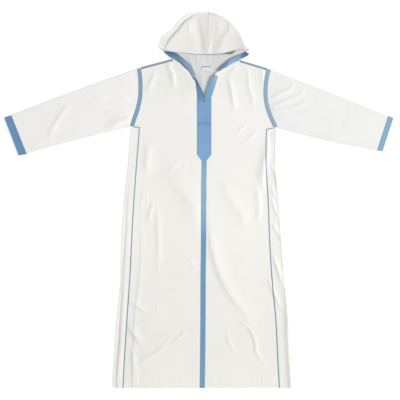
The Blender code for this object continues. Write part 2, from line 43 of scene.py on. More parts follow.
# Widths of the trims, and how the facings and the hood's edge roll
ARMHOLE_TAPE, SHOULDER_TAPE, PIPING, CENTRE_BAND = 0.016, 0.008, 0.0035, 0.020
SHOULDER_TAPE_START, SHOULDER_TAPE_CLEAR, SHOULDER_TAPE_TURNED = 0.001, 0.0002, (0.0014, 0.0007)
# The facings' inner stripe is painted darker, as shade on their rolled edge: its width is the last value
# here, its easing the last on the next line
FACING_ROLL, FACING_SINK, FACING_PAINTED_SHADE_WIDTH = 0.0012, 0.0004, 0.0055
FACING_DOWN, FACING_UP, FACING_PAINTED_SHADE_EASE = 0.0040, 0.0058, 0.0033
FACING_ROWS, FACING_UNSEWN = (0.14, 0.86), 2
# The next three widths: where the arms' edges, the gores' folds and the hood's fold take their second colour,
# painted shade and highlight
ARM_PAINTED_SHADE_WIDTH, GORE_PAINTED_LIGHT_REACH, HOOD_PAINTED_LIGHT_REACH = 0.006, 0.005, 0.009
ARM_ROLL, ARM_SINK, ARM_ROWS, ARM_UNSEWN = 0.0005, 0.0002, (0.16, 0.84), 3
PLACKET_LIP, LIP_START, LIP_LENGTH = 0.0008, 0.372, 0.016
PLACKET_GROOVE, GROOVE_WIDTH = 0.0003, 0.0018
CUFF_LIFT, CUFF_ROWS, CUFF_INSET = 0.0002, (0.12, 0.88), 0.003
LABEL_WIDTH, LABEL_HEIGHT, LABEL_MIDDLE = 0.038, 0.018, 0.0286
LABEL_BELOW_SEAM, LABEL_MID, LABEL_ROLL = 0.010, 0.0021, 0.0004
LABEL_SEAM, LABEL_SEAM_Z, LABEL_SEAM_INSET = 0.0034, 0.0025, 0.0006
# A grey strip shows below the hood's edge as painted shadow, and widens near the right corner into a painted
# shadow wedge
HOOD_EDGE_STRIP, HOOD_EDGE_SHOWS, HOOD_EDGE_POINTS = 0.014, 0.002, slice(4, 16)
HOOD_PAINTED_SHADOW_WEDGE, HOOD_PAINTED_SHADOW_WEDGE_X, HOOD_PAINTED_SHADOW_WEDGE_WIDTH = 0.011, 0.126, 0.016

# Loft of the soft parts, and the widths over which it dies away to seams and folds
SLEEVE_LOFT, SLEEVE_EASE, SLEEVE_SIDE_EASE = 0.0014, 0.085, 0.1105
HOOD_LOFT, HOOD_EASE, HOOD_FOLD_EASE = 0.0020, 0.022, 0.006
BODY_CROWN, BODY_MIDDLE, BODY_HALF = 0.0030, 0.017, 0.26
CROWN_TOP, CROWN_TOP_EASE, CROWN_FOOT, CROWN_FOOT_EASE, CROWN_LEAST = 0.60, 0.16, -0.76, 0.12, 0.4
# How far past each trim it holds the cloth down, and how much of a crease is left under it
Hold = namedtuple("Hold", "ease left")
BAND_HOLD, TAPE_HOLD = Hold(0.009, 0.35), Hold(0.009, 0.30)
PIPING_HOLD, EDGE_HOLD, EDGE_HALF = Hold(0.005, 0.75), Hold(0.006, 0.80), 0.010

# Fineness of the surfaces
FRONT_STEP, GORE_STEP, SLEEVE_STEP, HOOD_STEP = 0.0034, 0.0034, 0.0040, 0.0030
BACK_NECK_STEP, BACK_STEP, BACK_FINE_ROWS, SHOULDER_STEPS = 0.0036, 0.0078, 7, 15
TRIM_STEP, BAND_STEP, ARM_STEP, FACING_STEP, LABEL_STEP = 0.0040, 0.0030, 0.0026, 0.0022, 0.0020
LINE_STEP, SHOULDER_LINE_STEP, SHOULDER_FLAT_STEPS, SHOULDER_TURN_STEPS = 0.004, 0.005, 5, 6
EDGE, NEAR_EDGE, SHARPEST = 0.0009, (0.12, 0.45, 1.0), 0.97

# Creases: points along each path, reach and taper in widths and shares, and how steeply they fall away
PATH_SAMPLES, CREASE_REACH, CREASE_TAPER, CREASE_FALL = 24, 2.6, 2.6, 1.7

# Hem: where its inner edge is sewn, and how the turned-up cloth puckers
HEM_LINE, HEM_WIDTH = -0.7060, 0.0455
HEM_RISE, HEM_STEP, HEM_DIP, HEM_ROW_OVER = 0.0004, 0.004, 0.0022, 0.001
PUCKER, PUCKER_MIDDLE, PUCKER_REACH, PUCKER_LEAST = 0.00025, 0.016, 0.013, 0.15
CORNER_PUCKER, CORNER_FROM, CORNER_EASE = 1.2, 0.27, 0.04
# Puckers by strength, length, phase, and how much and over what length their place sways
PUCKER_WAVES = ((1, 0.0030, 0, 2, 0.021), (0.7, 0.0017, 0.8, 3, 0.037))
# How strong they are along the hem, by strength, length and phase
UNEVEN_WAVES = ((0.5, 0.013, 1.3), (0.4, 0.029, 0))

# Sewing thread: length, gap and width of a stitch, how it rises and dips, and how far it lies from an edge
STITCH, STITCH_GAP, THREAD = 0.0026, 0.0012, 0.0005
STITCH_SHARES, STITCH_ENDS, STITCH_TOP, STITCH_FOOT = (0, 0.22, 0.78, 1), 0.6, 0.55, 0.5
STITCH_INSET = 0.0018
HOOD_STITCH = {"length": 0.0034, "gap": 0.0030, "width": 0.0009}
LABEL_STITCH = {"length": 0.0011, "gap": 0.0001, "width": LABEL_SEAM}

# The narrowest width counted for a sheet of cloth when its flat size is worked out
SMALLEST_CUT = 0.0105

# Undulation of lightly crumpled cotton: wave lengths and steepness of many small waves
CRINKLE_SEED, CRINKLE_WAVES = 11, 40
CRINKLE_SHORTEST, CRINKLE_LONGEST, CRINKLE_SLOPE = 0.026, 0.120, 0.0055
HELD_CRINKLE, UNDER_CRINKLE, UNDER_FROM, UNDER_EASE = 0.4, 0.5, 0.38, 0.08

# The view: straight down, and as wide as the photograph at the garment's scale
PHOTO_WIDTH = 400 * 0.0040
VIEW_X, LENS, SENSOR = 0.0030, 85.0, 36.0

# Cloth up close: spacing of its threads, and how many uneven threads and faint patches there are to a metre
WEAVE, THREAD_TWIST, SATIN_WEAVE = 0.0006, 0.0004, 0.0003
SLUB_SCALE, PATCH_SCALE, BUMP_DEPTH, BUMP_STRENGTH = 420.0, 14.0, 0.00006, 0.6
THREAD_WAVER, SLUB_SHARE, PATCH_RANGE = 0.35, 0.6, (0.3, 0.7)
SHEEN = {"Specular IOR Level": 0.15, "Sheen Weight": 0.04, "Sheen Roughness": 0.5}

# Light: what falls on level cloth as a share of full white; lamps by direction, distance and power
LIGHT_LEVEL, WORLD_LIGHT = 1.08, 0.575
Lamp = namedtuple("Lamp", "name azimuth elevation distance size power")
LAMPS = (Lamp("key", -10, 32, 15.0, 4.0, 1890.0), Lamp("fill", 90, 55, 3.2, 1.6, 9.0))
FLOOR_SIZE, FLOOR_Z, FLOOR_ALBEDO, FLOOR_GLOW = 30.0, -0.0005, 0.62, 0.45


def mm(*rows):
    return np.array(rows, float) / 1000


def trail(*places):
    """Places given as X and Y in turn, in whatever unit."""
    return np.reshape(places, (-1, 2))


def lines(*rows):
    """The lines that a table in millimetres holds side by side, in two columns each."""
    table = mm(*rows)
    return [table[:, n : n + 2] for n in range(0, table.shape[1], 2)]


def creases(*rows):
    """Creases in millimetres: a soft ridge, or a trough where its height is below 0, along a path.

    A row is its height, its half widths on the left and right of someone walking the path, and then the
    path's places as X and Y in turn. Down the garment, the left hand is towards +X."""
    return [(*mm(*row[:3]), trail(*mm(*row[3:]))) for row in rows]


# Below the underarm, at each height: where the folds, the seams and the centre lie
BODY = mm(
    # y, left fold, left seam, centre, right seam, right fold
    (158, -281, -249, 20, 267, 304),
    (-2, -298, -261, 18, 276, 317.5),
    (-162, -309, -270, 17.6, 282, 329),
    (-322, -313.5, -278, 15.8, 292, 341),
    (-482, -328.5, -289, 15.3, 307, 357),
    (-642, -339.5, -299, 14, 315, 372.5),
    (-751.5, -345.5, -305, 12.2, 321, 376.5),
)
LEFT_FOLD, LEFT_SEAM, CENTRE, RIGHT_SEAM, RIGHT_FOLD = (np.stack((x, BODY[:, 0]), axis=1) for x in BODY.T[1:])

# Above the underarm, from shoulder to armhole end: the armhole, and the front edge across from it
LEFT_ARMHOLE, LEFT_FRONT = lines(
    (-241.2, 528, -105, 564), (-237.6, 506, -80, 548), (-235.4, 483, -58, 528), (-234.6, 460, -34, 508),
    (-234.6, 438, -17.5, 487), (-235.8, 416, -4, 454), (-239.4, 392, 20, 410), (-248, 357, 20, 367),
    (-259, 326, 20, 332), (-269.4, 293, 20, 295.5),
)
RIGHT_ARMHOLE, RIGHT_FRONT = lines(
    (280, 524, 163, 559), (273.8, 505, 140, 553), (269.2, 482, 114, 540), (266.6, 460, 86, 522),
    (265.8, 438, 60, 500), (266, 412, 50, 456), (270, 385, 20, 410), (279, 352, 20, 367),
    (293, 318, 20, 332), (307, 289.5, 20, 293.5),
)
GORE_START = mm(1.5, -3.5)
UNDERARM_GAP = 4 * SEAM_GAP

# Hood from its left corner over the centre seam to its right corner: front edge, fold and neck
HOOD = lines(
    (-137.8, 598.8, -162.5, 609, -97.5, 560), (-131.8, 598, -156, 632, -92, 556.4),
    (-123, 596.4, -147, 652, -82, 554.4), (-111, 594.4, -125, 670, -71, 552.6),
    (-95, 592, -101, 690, -58, 550.8), (-75, 590.5, -88, 709, -43, 549.2),
    (-51, 587.5, -66.5, 728.5, -27, 547.6), (-23.4, 585, -44, 745, -9, 546),
    (1, 583, -9, 753.5, 9, 545.2), (34, 582.8, 34.5, 753.8, 32, 544.8),
    (53, 583, 66, 746, 49, 545.2), (77, 584.8, 99, 731, 67, 546),
    (97, 587.2, 124, 713, 85, 547.6), (115, 590.8, 142, 694, 102, 548.8),
    (131, 595.6, 157, 675, 118, 550), (145, 599.6, 170, 655, 131, 551),
    (159, 602, 179, 635, 141, 552), (170, 602.8, 187, 619, 149, 553),
    (179, 601.6, 202, 601, 155, 556),
)
HOOD_MIDDLE = 9
HOOD_SEAM = mm((35.2, 744), (35, 670), (34.8, 600))
HOOD_SEAM_CLEAR = (0.05, 0.02)

# Blue facing of the hood's turned-out edge, from hood corner to the top of the placket: outer, inner, height
LEFT_FACING = lines(
    (-142.2, 591.6, -135, 595, 2.8), (-128.5, 581.2, -111, 592.5, 4), (-113, 569, -89, 585.8, 5.8),
    (-95, 562.8, -74, 573.6, 5.8), (-77.5, 555.2, -63, 564.8, 5.8), (-63, 538.4, -47.5, 551.2, 5.8),
    (-50.8, 525.2, -33.5, 537.6, 5.8), (-39.2, 510.8, -25, 518, 5.8), (-29.6, 496.4, -17.6, 501.2, 5.8),
    (-25.2, 485, -15.8, 488.8, 5.8),
)
RIGHT_FACING = lines(
    (200.2, 585.2, 183, 594.4, 2.8), (191, 575.6, 172.8, 587.2, 4), (171, 566, 150.5, 577.4, 5.8),
    (149, 554, 126.5, 566.4, 5.8), (125, 541.2, 106.5, 552, 5.8), (105, 529.2, 90.5, 538, 5.8),
    (89, 520.4, 80, 526.2, 5.8), (80, 514, 75, 518, 5.8),
)

# Placket: a pointed block, and an arm up each side of the neck slit that is sewn in under its top
PLACKET_LEFT, PLACKET_RIGHT = -0.0084, 0.0484
PLACKET_TOP, PLACKET_CORNER, PLACKET_FOOT = 0.3920, 0.1820, 0.1570
PLACKET_SEAMS = (0.3900, 0.3060)
SLIT_FOOT = mm(20, 408)
LEFT_ARM = lines(
    (-8.4, 388, 19.8, 388), (-8.4, 411, 19.7, 408.5), (-9.4, 430, 12.4, 434), (-13.6, 462, -1, 462),
    (-17.2, 478, -9, 478), (-24.6, 484.3, -15.4, 488),
)
RIGHT_ARM = lines(
    (48.4, 388, 20.2, 388), (48.4, 411, 20.3, 408.5), (56.2, 434, 26.8, 428), (65, 460.8, 34, 452),
    (74.2, 493.2, 47.6, 488), (74.2, 493.6, 60.6, 500),
)

# Sleeve ends and cuff mouths are an upper and a lower corner; bows are how far the sleeve's edges bow up
Side = namedtuple("Side", "name sign gap armhole front corner seam fold sleeve bow mouth facing")
HALF_GAP = np.array((SEAM_GAP / 2, 0))
LEFT = Side(
    "left", -1, -HALF_GAP, LEFT_ARMHOLE, LEFT_FRONT, mm(-238.5, 290.5), LEFT_SEAM, LEFT_FOLD,
    mm((-751.8, 339), (-690, 184)), mm(3, 3), mm((-780, 330.6), (-721.8, 177.8)), LEFT_FACING)
RIGHT = Side(
    "right", 1, HALF_GAP, RIGHT_ARMHOLE, RIGHT_FRONT, mm(269.5, 283), RIGHT_SEAM, RIGHT_FOLD,
    mm((755.4, 337.2), (710.6, 198)), mm(3, -6), mm((777, 328.8), (733.8, 195.5)), RIGHT_FACING)
SIDES = (LEFT, RIGHT)

# Paths that several creases follow
LEFT_GROOVE = trail(
    -267,240, -271,188, -281,80, -287,20, -291,-50, -295,-153, -302,-247, -307,-340, -311,-410, -316,-480,
    -321,-573, -330,-667, -332,-737, -334,-800, -336,-850, -338,-900, -340,-950)
RIGHT_GROOVE = trail(
    318,-240, 329,-325, 337.4,-405, 342,-480, 343.8,-550, 348,-620, 354.5,-713.4, 357,-790, 358,-870,
    359,-950)
SEAM_ALLOWANCE = trail(
    -232,60, -237.3,-88, -235,-200, -239.7,-293, -251.3,-396, -260.7,-480, -263,-573, -265.3,-667,
    -267,-780, -269,-900)
LEFT_NECK_EDGE = trail(
    -118,592, -98,574, -75,558, -59,541, -45,527, -34,511, -25,496, -18,476, -10,450, -2,420, 8,385)
RIGHT_NECK_EDGE = trail(
    196,592, 170,574, 146,562, 122,547, 101,533, 84,522, 70,504, 58,480, 48,450, 40,420, 32,385)


def beside(line, shift):
    """The same path, moved along X."""
    return (line + (shift, 0)).ravel()


BODY_CREASES = creases(
    # the neck edges, lifted by the turned-out hood
    (5.2, 10, 36, *beside(LEFT_NECK_EDGE, 0)),
    (3.2, 12, 10, *beside(RIGHT_NECK_EDGE, 0)),
    # right front
    (3, 26, 22, 82,80, 100,50, 138,-10, 166,-50, 186,-95, 198,-150),
    (2.2, 10, 16, 220,95, 236,20, 240,-50, 230,-115),
    (5, 12, 18, 280,280, 274,230, 268,180, 260,140, 254.5,100, 253.5,60, 249,15),
    (4.2, 28, 14, 32,-50, 36,-90, 43,-140, 53,-195, 65,-245, 81,-293, 107,-349, 143,-402, 179,-446,
     205,-474, 222,-492),
    (2.4, 8, 6, 149,-466, 165,-486, 195,-510, 211,-534, 223,-562, 227,-602, 239,-626, 259,-650, 285,-686),
    (1.1, 6, 5, 190,-512, 225,-530, 257,-550),
    (1.2, 8, 7, 155,-472, 203,-488, 231,-512),
    (1.5, 7, 6, 105,-500, 116,-555, 132,-592, 159,-626),
    (3.4, 12, 10, 108,515, 119,480, 129,440, 135,400, 141,368, 144,340),
    (2.2, 10, 10, 188,548, 195,510, 199,455, 211,415, 217,380, 219,350),
    (2.2, 6, 10, 250,560, 252,535, 254,500, 259,460, 262,420),
    (1.6, 8, 8, 158,548, 136,518, 114,498),
    (1.3, 7, 6, 200,318, 168,283, 136,256),
    (1.6, 10, 8, 245,285, 207,252, 172,222),
    # right gore
    (2.8, 7, 6, 262,-285, 283,-335, 302,-380, 318,-415, 352,-462),
    (2.6, 6, 6, 286,150, 291,132, 303,108, 313,52, 318,30),
    (1.6, 6, 6, 284,65, 297,30, 308,-5),
    (2.2, 6, 6, 283,25, 296,-15, 312,-55, 322,-80),
    (2.2, 7, 6, 292,-85, 300,-108, 322,-148, 335,-190),
    (3.4, 8, 7, 288,-190, 303,-240, 315,-280, 327,-320, 337,-370),
    (-1.4, 6, 6, 289,285, 285,262, 284,240, 283,205),
    (4.4, 5, 11, *beside(RIGHT_GROOVE, 11)),
    (1.4, 5, 9, *beside(RIGHT_GROOVE[5:], 10)),
    # left gore
    (-1.2, 5, 6, *beside(LEFT_GROOVE, -4)),
    (1.9, 18, 8, *beside(LEFT_GROOVE, 6)),
    (1.6, 18, 7, *beside(LEFT_GROOVE[7:], 7)),
    (2.8, 10, 7, -290,-408, -270,-414, -245,-426, -222,-442, -196,-458),
    (0.9, 5, 4, -232,-400, -214,-424, -200,-444),
    (0.8, 5, 4, -182,-404, -170,-430, -166,-452),
    (1, 5, 5, -262,-520, -244,-498, -222,-484),
    (3.6, 20, 8, -296,-490, -277,-515, -260,-539, -240,-567, -225,-595),
    (4.2, 120, 75, -185,-340, -195,-480, -205,-620, -210,-760, -210,-980),
    (2, 8, 6, -266,-580, -262,-660, -268,-800),
    (1.2, 6, 5, -250,-640, -250,-700, -253,-800),
    (1.4, 4, 4, -274,-570, -269,-620, -270,-675),
    # left front
    (1.3, 14, 4, *beside(SEAM_ALLOWANCE, 2)),
    (1.9, 11, 10, -160,30, -170,-35, -166,-74, -164,-130, -163,-200, -164,-260, -166,-330),
    (2, 10, 9, -176,15, -190,-30, -199,-65, -208,-112),
    (1, 8, 7, -216,58, -221,30, -230,-10, -240,-55),
    (0.8, 7, 7, -196,62, -207,30, -211,-5, -222,-40),
    (0.9, 7, 6, -44,-220, -27,-258, -8,-298),
    (3.6, 50, 30, -175,168, -122,112, -72,56, -36,-10, -12,-88, -4,-160),
    (1.1, 7, 6, -74,164, -100,135, -130,104),
    (0.9, 5, 5, -52,166, -58,140, -64,116),
    (3, 18, 16, -196,245, -205,190, -211,140, -215,85),
    (1.5, 9, 7, -47,-508, -77,-548, -120,-580),
    (2, 12, 8, -124,-552, -149,-590, -181,-616, -217,-638, -252,-672),
    (0.8, 5, 5, -98,-532, -122,-556, -142,-572),
    (0.9, 5, 4, -252,-602, -232,-628, -214,-662),
    (3.8, 9, 13, -131,590, -128,570, -119,532, -106,500, -101,460, -96,430),
    (2.2, 11, 10, -170,535, -190,475, -210,420),
    (0.9, 8, 8, -74,436, -48,412, -20,386),
)
SLEEVE_CREASES = creases(
    (2.3, 11, 9, -500,420, -532,370, -558,332, -584,290, -596,262, -602,218),
    (1.1, 6, 5, -430,404, -392,410, -358,421),
    (1.4, 8, 8, -395,352, -355,350, -320,345, -285,352),
    (4.4, 24, 10, -385,280, -349,294, -309,312, -273,324, -220,345),
    (1.3, 8, 7, -325,424, -300,408, -276,389),
    (0.9, 6, 6, -574,244, -520,252, -460,264),
    (2.6, 7, 10, 250,392, 285,404, 302,413, 322,425, 355,438, 372,458, 378,486),
    (2.8, 7, 10, 245,356, 280,370, 296,376, 340,394, 387,412, 413,428, 418,470),
    (2.6, 7, 9, 250,344, 284,352, 301,359, 342,365.5, 397,376.5, 427,391, 455,408),
    (0.7, 8, 8, 360,290, 400,284, 450,270),
    (0.7, 8, 8, 480,262, 530,256, 590,246),
)
HOOD_CREASES = creases(
    # the edge of the inner layer along the left rim
    (3.4, 6, 30, -146,560, -141,578, -135,596, -128.4,614, -119.3,632.6, -101.8,655, -82,675, -66.8,695.3,
     -52.8,711.7, -38.2,718.8, -23.4,731.2, -4.6,741.8, 13.1,745.1, 33,745.1, 50,744),
    (-1.5, 4, 5, -156,565, -150,583, -145,601, -138.2,619, -127.6,639.9, -110,662.3, -90.1,682.3,
     -75.4,702.1, -59.8,720.2, -44.5,727.8, -29.5,740.4, -8.6,752, 10,755, 30,756),
    # the middle: a hollow, then up to the seam
    (1.2, 16, 40, -41,790, -37,744, -35,712, -33,680, -21,656, -15,632, -13,612, -9,592, -5,560),
    (-0.8, 12, 12, -5,780, -9,728, -9,700, -6,680, 2,656, 4,632, 6,608, 8,584, 10,540, 10,500),
    (2.4, 40, 11, 11,900, 11,790, 10,744, 11,712, 13,680, 21,648, 23,620, 25,592, 25,540, 25,440),
    (4.8, 120, 20, 40,900, 40,800, 39,700, 39,650, 38,610, 37,560, 37,420),
    (-1, 10, 9, 66,700, 59,664, 55,648, 54,632, 53,616, 51,600, 49,576, 47,544, 47,480),
    (1.3, 10, 7, -44,720, -42,700, -40,672, -38,652),
    (0.9, 4, 4, 48,642, 43,622, 36,602, 30,578),
    # the right half
    (2.6, 60, 32, 78,840, 80,740, 80,700, 80,640, 78,560),
    (1.6, 14, 7, 92,752, 112,726, 121,704, 119,684, 110,666, 98,648),
    (4.6, 62, 16, 140,715, 127,690, 113,664, 102,648, 94,632, 90,620, 82,600, 74,584, 64,545, 52,460),
    (0.8, 4, 4, 70,724, 85,668),
    (-0.6, 3, 3, 50,752, 101,724, 125,700, 151,662, 176,620),
    (3.4, 10, 40, 194,660, 186,632, 181,606, 178,570),
)
NECK_CREASES = creases(
    (0.9, 5, 5, -10,590, -6,545),
    (0.7, 4, 5, 12,590, 14,550),
    (1, 6, 4, 40,590, 37,540),
    (0.8, 5, 5, 64,590, 58,548),
    (1.2, 7, 7, 96,580, 82,545),
    (2.6, 20, 26, 210,625, 147,582, 110,558, 85,530, 60,470),
    (1, 6, 6, -48,590, -30,548, -12,500),
    (1.2, 10, 10, 10,530, 14,470, 20,420),
    (1, 8, 8, 60,530, 40,480, 26,430),
)
UNDERSIDE_CREASES = creases(
    (0.4, 12, 12, -60,300, -100,100, -150,-120),
    (0.4, 10, 14, 80,240, 130,20, 150,-240),
    (0.4, 14, 10, -40,-180, -90,-380, -190,-600),
    (0.4, 10, 10, 120,-340, 190,-520, 230,-700),
    (0.4, 12, 10, 20,500, 10,340, -20,180),
    (0.3, 8, 8, -180,480, -170,380, -190,260),
    (0.3, 8, 8, 210,470, 190,360, 220,250),
)

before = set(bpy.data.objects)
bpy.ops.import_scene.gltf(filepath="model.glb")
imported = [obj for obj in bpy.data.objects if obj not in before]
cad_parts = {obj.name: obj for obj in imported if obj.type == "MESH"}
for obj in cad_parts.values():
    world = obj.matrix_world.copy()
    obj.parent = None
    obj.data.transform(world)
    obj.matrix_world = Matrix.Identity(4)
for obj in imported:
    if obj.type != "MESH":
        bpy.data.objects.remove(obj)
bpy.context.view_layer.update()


def linear(channel):
    """One sRGB channel, 0 to 255, as the linear value that Blender stores."""
    value = channel / 255
    return value / 12.92 if value <= 0.04045 else ((value + 0.055) / 1.055) ** 2.4


def seen(colour):
    """The base colour that shows as an sRGB colour of the photograph under this scene's light."""
    return (*(linear(channel) / LIGHT_LEVEL for channel in colour), 1.0)


def smooth(value):
    """0 below 0, 1 above 1, and an easy slope between."""
    t = np.clip(value, 0, 1)
    return t * t * (3 - 2 * t)


def bell(distance, width):
    """1 at no distance, falling away smoothly to either side."""
    return np.exp(-((distance / width) ** 2))


def norm(vectors):
    return np.linalg.norm(vectors, axis=-1)


def unit(vectors):
    return vectors / np.maximum(norm(vectors)[..., None], 1e-12)


def toward(point, other, distance):
    return point + unit(other - point) * distance


def travel(points, axis=0):
    """How far each point of a line or a grid lies from its first point, row or column."""
    steps = norm(np.diff(points, axis=axis))
    return np.insert(steps.cumsum(axis), 0, 0, axis=axis)


def curve(points, at, corners=()):
    """Places on a smooth line through points, by their numbers; it turns sharply at those in corners."""
    points, at = np.asarray(points, float), np.asarray(at, float)
    steps = np.diff(points, axis=0)
    slopes = np.vstack((steps[:1], (steps[:-1] + steps[1:]) / 2, steps[-1:]))
    leaving, arriving = slopes[:-1].copy(), slopes[1:].copy()
    for corner in corners:
        leaving[corner], arriving[corner - 1] = steps[corner], steps[corner - 1]
    start = np.clip(np.floor(at).astype(int), 0, len(points) - 2)
    t = (at - start)[:, None]
    rise = t * t * (3 - 2 * t)
    swing = leaving[start] * (t**3 - 2 * t**2 + t) + arriving[start] * (t**3 - t**2)
    return points[start] * (1 - rise) + points[start + 1] * rise + swing


def near_ends(at, first, last):
    """Cuts with more of them close to both ends, where cloth is rounded."""
    near = EDGE * np.array(NEAR_EDGE)
    return np.concatenate((at[:1], at[0] + near / first, at[1:-1], at[-1] - near[::-1] / last, at[-1:]))


def stops(step, *paths, rounded=True):
    """Where lines of paired points are cut, as numbers along them, into pieces of at most a step."""
    spans = [max(math.dist(path[n], path[n + 1]) for path in paths) for n in range(len(paths[0]) - 1)]
    counts = [max(1, math.ceil(span / step)) for span in spans]
    at = np.concatenate([n + np.arange(count) / count for n, count in enumerate(counts)] + [[len(spans)]])
    return near_ends(at, spans[0], spans[-1]) if rounded else at


def shares(width, step):
    """Shares from 0 to 1 across a width, set closer at both ends."""
    count = max(2, round((width - 2 * EDGE) / step) + 1)
    near = EDGE * np.array((0, *NEAR_EDGE[:2]))
    return np.concatenate((near, np.linspace(EDGE, width - EDGE, count), width - near[::-1])) / width


def dense(path, step=LINE_STEP):
    """A path with points no further apart than a step."""
    return curve(path, stops(step, path))


def nearest(x, y, path):
    """For each place: its distance to a path, the share of the path where it is nearest, and its hand.

    The hand is 1 on the left of someone walking the path, and -1 on the right."""
    along = np.diff(path, axis=0)
    offset = np.stack((x, y), axis=-1)[:, None] - path[:-1]
    t = np.clip((offset * along).sum(2) / (along**2).sum(1), 0, 1)
    distance = norm(offset - t[..., None] * along)
    best, row = distance.argmin(1), np.arange(len(x))
    cross = along[best, 0] * offset[row, best, 1] - along[best, 1] * offset[row, best, 0]
    return distance[row, best], (best + t[row, best]) / len(along), np.sign(cross)


def rise_along(table, x, y):
    """Rise along creases: each grows and dies along its path, and falls away to both sides."""
    rise = np.zeros(x.shape)
    for height, left, right, points in table:
        path = curve(points, np.linspace(0, len(points) - 1, PATH_SAMPLES + 1))
        reach = CREASE_REACH * max(left, right)
        (west, south), (east, north) = path.min(0) - reach, path.max(0) + reach
        close = (x > west) & (x < east) & (y > south) & (y < north)
        if close.any():
            distance, share, hand = nearest(x[close], y[close], path)
            taper = smooth(CREASE_TAPER * np.minimum(share, 1 - share))
            width = np.where(hand > 0, left, right)
            rise[close] += height * taper * np.exp(-((distance / width) ** CREASE_FALL))
    return rise


def crinkle_waves():
    """Number, direction and phase of each small wave, the same on each run."""
    rng = np.random.default_rng(CRINKLE_SEED)
    length = CRINKLE_SHORTEST * (CRINKLE_LONGEST / CRINKLE_SHORTEST) ** rng.random(CRINKLE_WAVES)
    angle = rng.random(CRINKLE_WAVES) * math.tau
    phase = rng.random(CRINKLE_WAVES) * math.tau
    return list(zip(math.tau / length, angle, phase))


WAVES = crinkle_waves()
FINISHES = {}


def crinkle(x, y):
    """Small uneven undulation of the cloth."""
    waves = (
        np.sin(number * (x * math.cos(angle) + y * math.sin(angle)) + phase) / number
        for number, angle, phase in WAVES)
    return 2 * CRINKLE_SLOPE / math.sqrt(CRINKLE_WAVES) * sum(waves)


def piping_line(side):
    return np.vstack((side.armhole[-1], side.corner, side.seam))


def shoulder(side):
    """The shoulder's line from neck to armhole, and the direction square to it, away from the body."""
    line = np.array((side.front[0], side.armhole[0]))
    x, y = unit(line[1] - line[0])
    return line, np.array((-y, x)) * side.sign


def quiet(x, y):
    """1 on open cloth, and less where a trim holds it down."""
    half_band = np.where(y > PLACKET_FOOT, (PLACKET_RIGHT - PLACKET_LEFT) / 2, CENTRE_BAND / 2)
    trims = [(np.vstack((SLIT_FOOT, CENTRE)), half_band, BAND_HOLD)]
    for side in SIDES:
        trims += [
            (side.armhole, ARMHOLE_TAPE / 2, TAPE_HOLD), (piping_line(side), PIPING / 2, PIPING_HOLD),
            (shoulder(side)[0], SHOULDER_TAPE, TAPE_HOLD), (sum(side.facing[:2]) / 2, EDGE_HALF, EDGE_HOLD)]
    level = np.ones(x.shape)
    for path, half, hold in trims:
        level *= 1 - (1 - hold.left) * bell(np.maximum(nearest(x, y, path)[0] - half, 0), hold.ease)
    return level


def crown(x, y):
    """Air between the layers lifts the fronts along their middle, less towards shoulders and hem."""
    across = np.clip((x - BODY_MIDDLE) / BODY_HALF, -1, 1)
    top, foot = smooth((CROWN_TOP - y) / CROWN_TOP_EASE), smooth((y - CROWN_FOOT) / CROWN_FOOT_EASE)
    return BODY_CROWN * (1 - across**2) ** 2 * top * (CROWN_LEAST + (1 - CROWN_LEAST) * foot)


def hem_rise(x, y):
    """The doubled cloth below the hem's stitching, and its uneven puckers, most at the outer corners."""
    inside = smooth((HEM_LINE - y) / HEM_STEP) - bell(y - HEM_LINE, HEM_DIP)
    wave = sum(
        strength * np.sin(x / length + sway * np.sin(x / over) + phase)
        for strength, length, phase, sway, over in PUCKER_WAVES)
    strong = smooth(0.5 + sum(part * np.sin(x / length + phase) for part, length, phase in UNEVEN_WAVES))
    corner = 1 + CORNER_PUCKER * smooth((np.abs(x - BODY_MIDDLE) - CORNER_FROM) / CORNER_EASE)
    wave *= (PUCKER_LEAST + (1 - PUCKER_LEAST) * strong) * corner
    return HEM_RISE * inside + PUCKER * wave * bell(y - HEM_LINE + PUCKER_MIDDLE, PUCKER_REACH)


def at_height(plan, z):
    """Places in plan, given one height or a height each."""
    plan = np.asarray(plan, float)
    return np.concatenate((plan, np.broadcast_to(z, plan.shape[:-1])[..., None]), axis=-1)


def on_top(plan, lift=0.0):
    """Places in plan raised to the middle of the upper layer and a lift over it."""
    plan = np.asarray(plan, float)
    x, y = plan.reshape(-1, 2).T
    level = quiet(x, y)
    rise = rise_along(BODY_CREASES + SLEEVE_CREASES, x, y) * level + crown(x, y)
    rise += crinkle(x, y) * (HELD_CRINKLE + (1 - HELD_CRINKLE) * level) + hem_rise(x, y)
    z = np.maximum(FRONT_MID + rise, LOWEST_FRONT)
    return at_height(plan, z.reshape(plan.shape[:-1]) + lift)


def lower_layer(plan):
    """Places in plan on the lower layer: flat on the table but for its creases."""
    x, y = plan.reshape(-1, 2).T
    rise = rise_along(NECK_CREASES + UNDERSIDE_CREASES, x, y)
    rise += UNDER_CRINKLE * np.abs(crinkle(x, y)) * smooth((y - UNDER_FROM) / UNDER_EASE)
    return at_height(plan, (BACK_MID + np.clip(rise, 0, MOST_UNDER_RISE)).reshape(plan.shape[:-1]))


def hood_height(plan, from_edge, from_fold):
    """Height of the hood's upper layer, by how far its places are from its front edge and its fold."""
    x, y = plan.reshape(-1, 2).T
    rise = rise_along(HOOD_CREASES, x, y).reshape(plan.shape[:-1])
    rise += HOOD_LOFT * (1 - bell(from_edge, HOOD_EASE)) * (1 - bell(from_fold, HOOD_EASE))
    rise = rise * smooth(from_fold / HOOD_FOLD_EASE) + crinkle(plan[..., 0], plan[..., 1])
    return np.maximum(FRONT_MID + rise, LOWEST_FRONT)


def between(inner, outer, share):
    """Rows of places from an inner line to an outer line, at shares across."""
    return inner[:, None] + (outer - inner)[:, None] * np.asarray(share)[None, :, None]


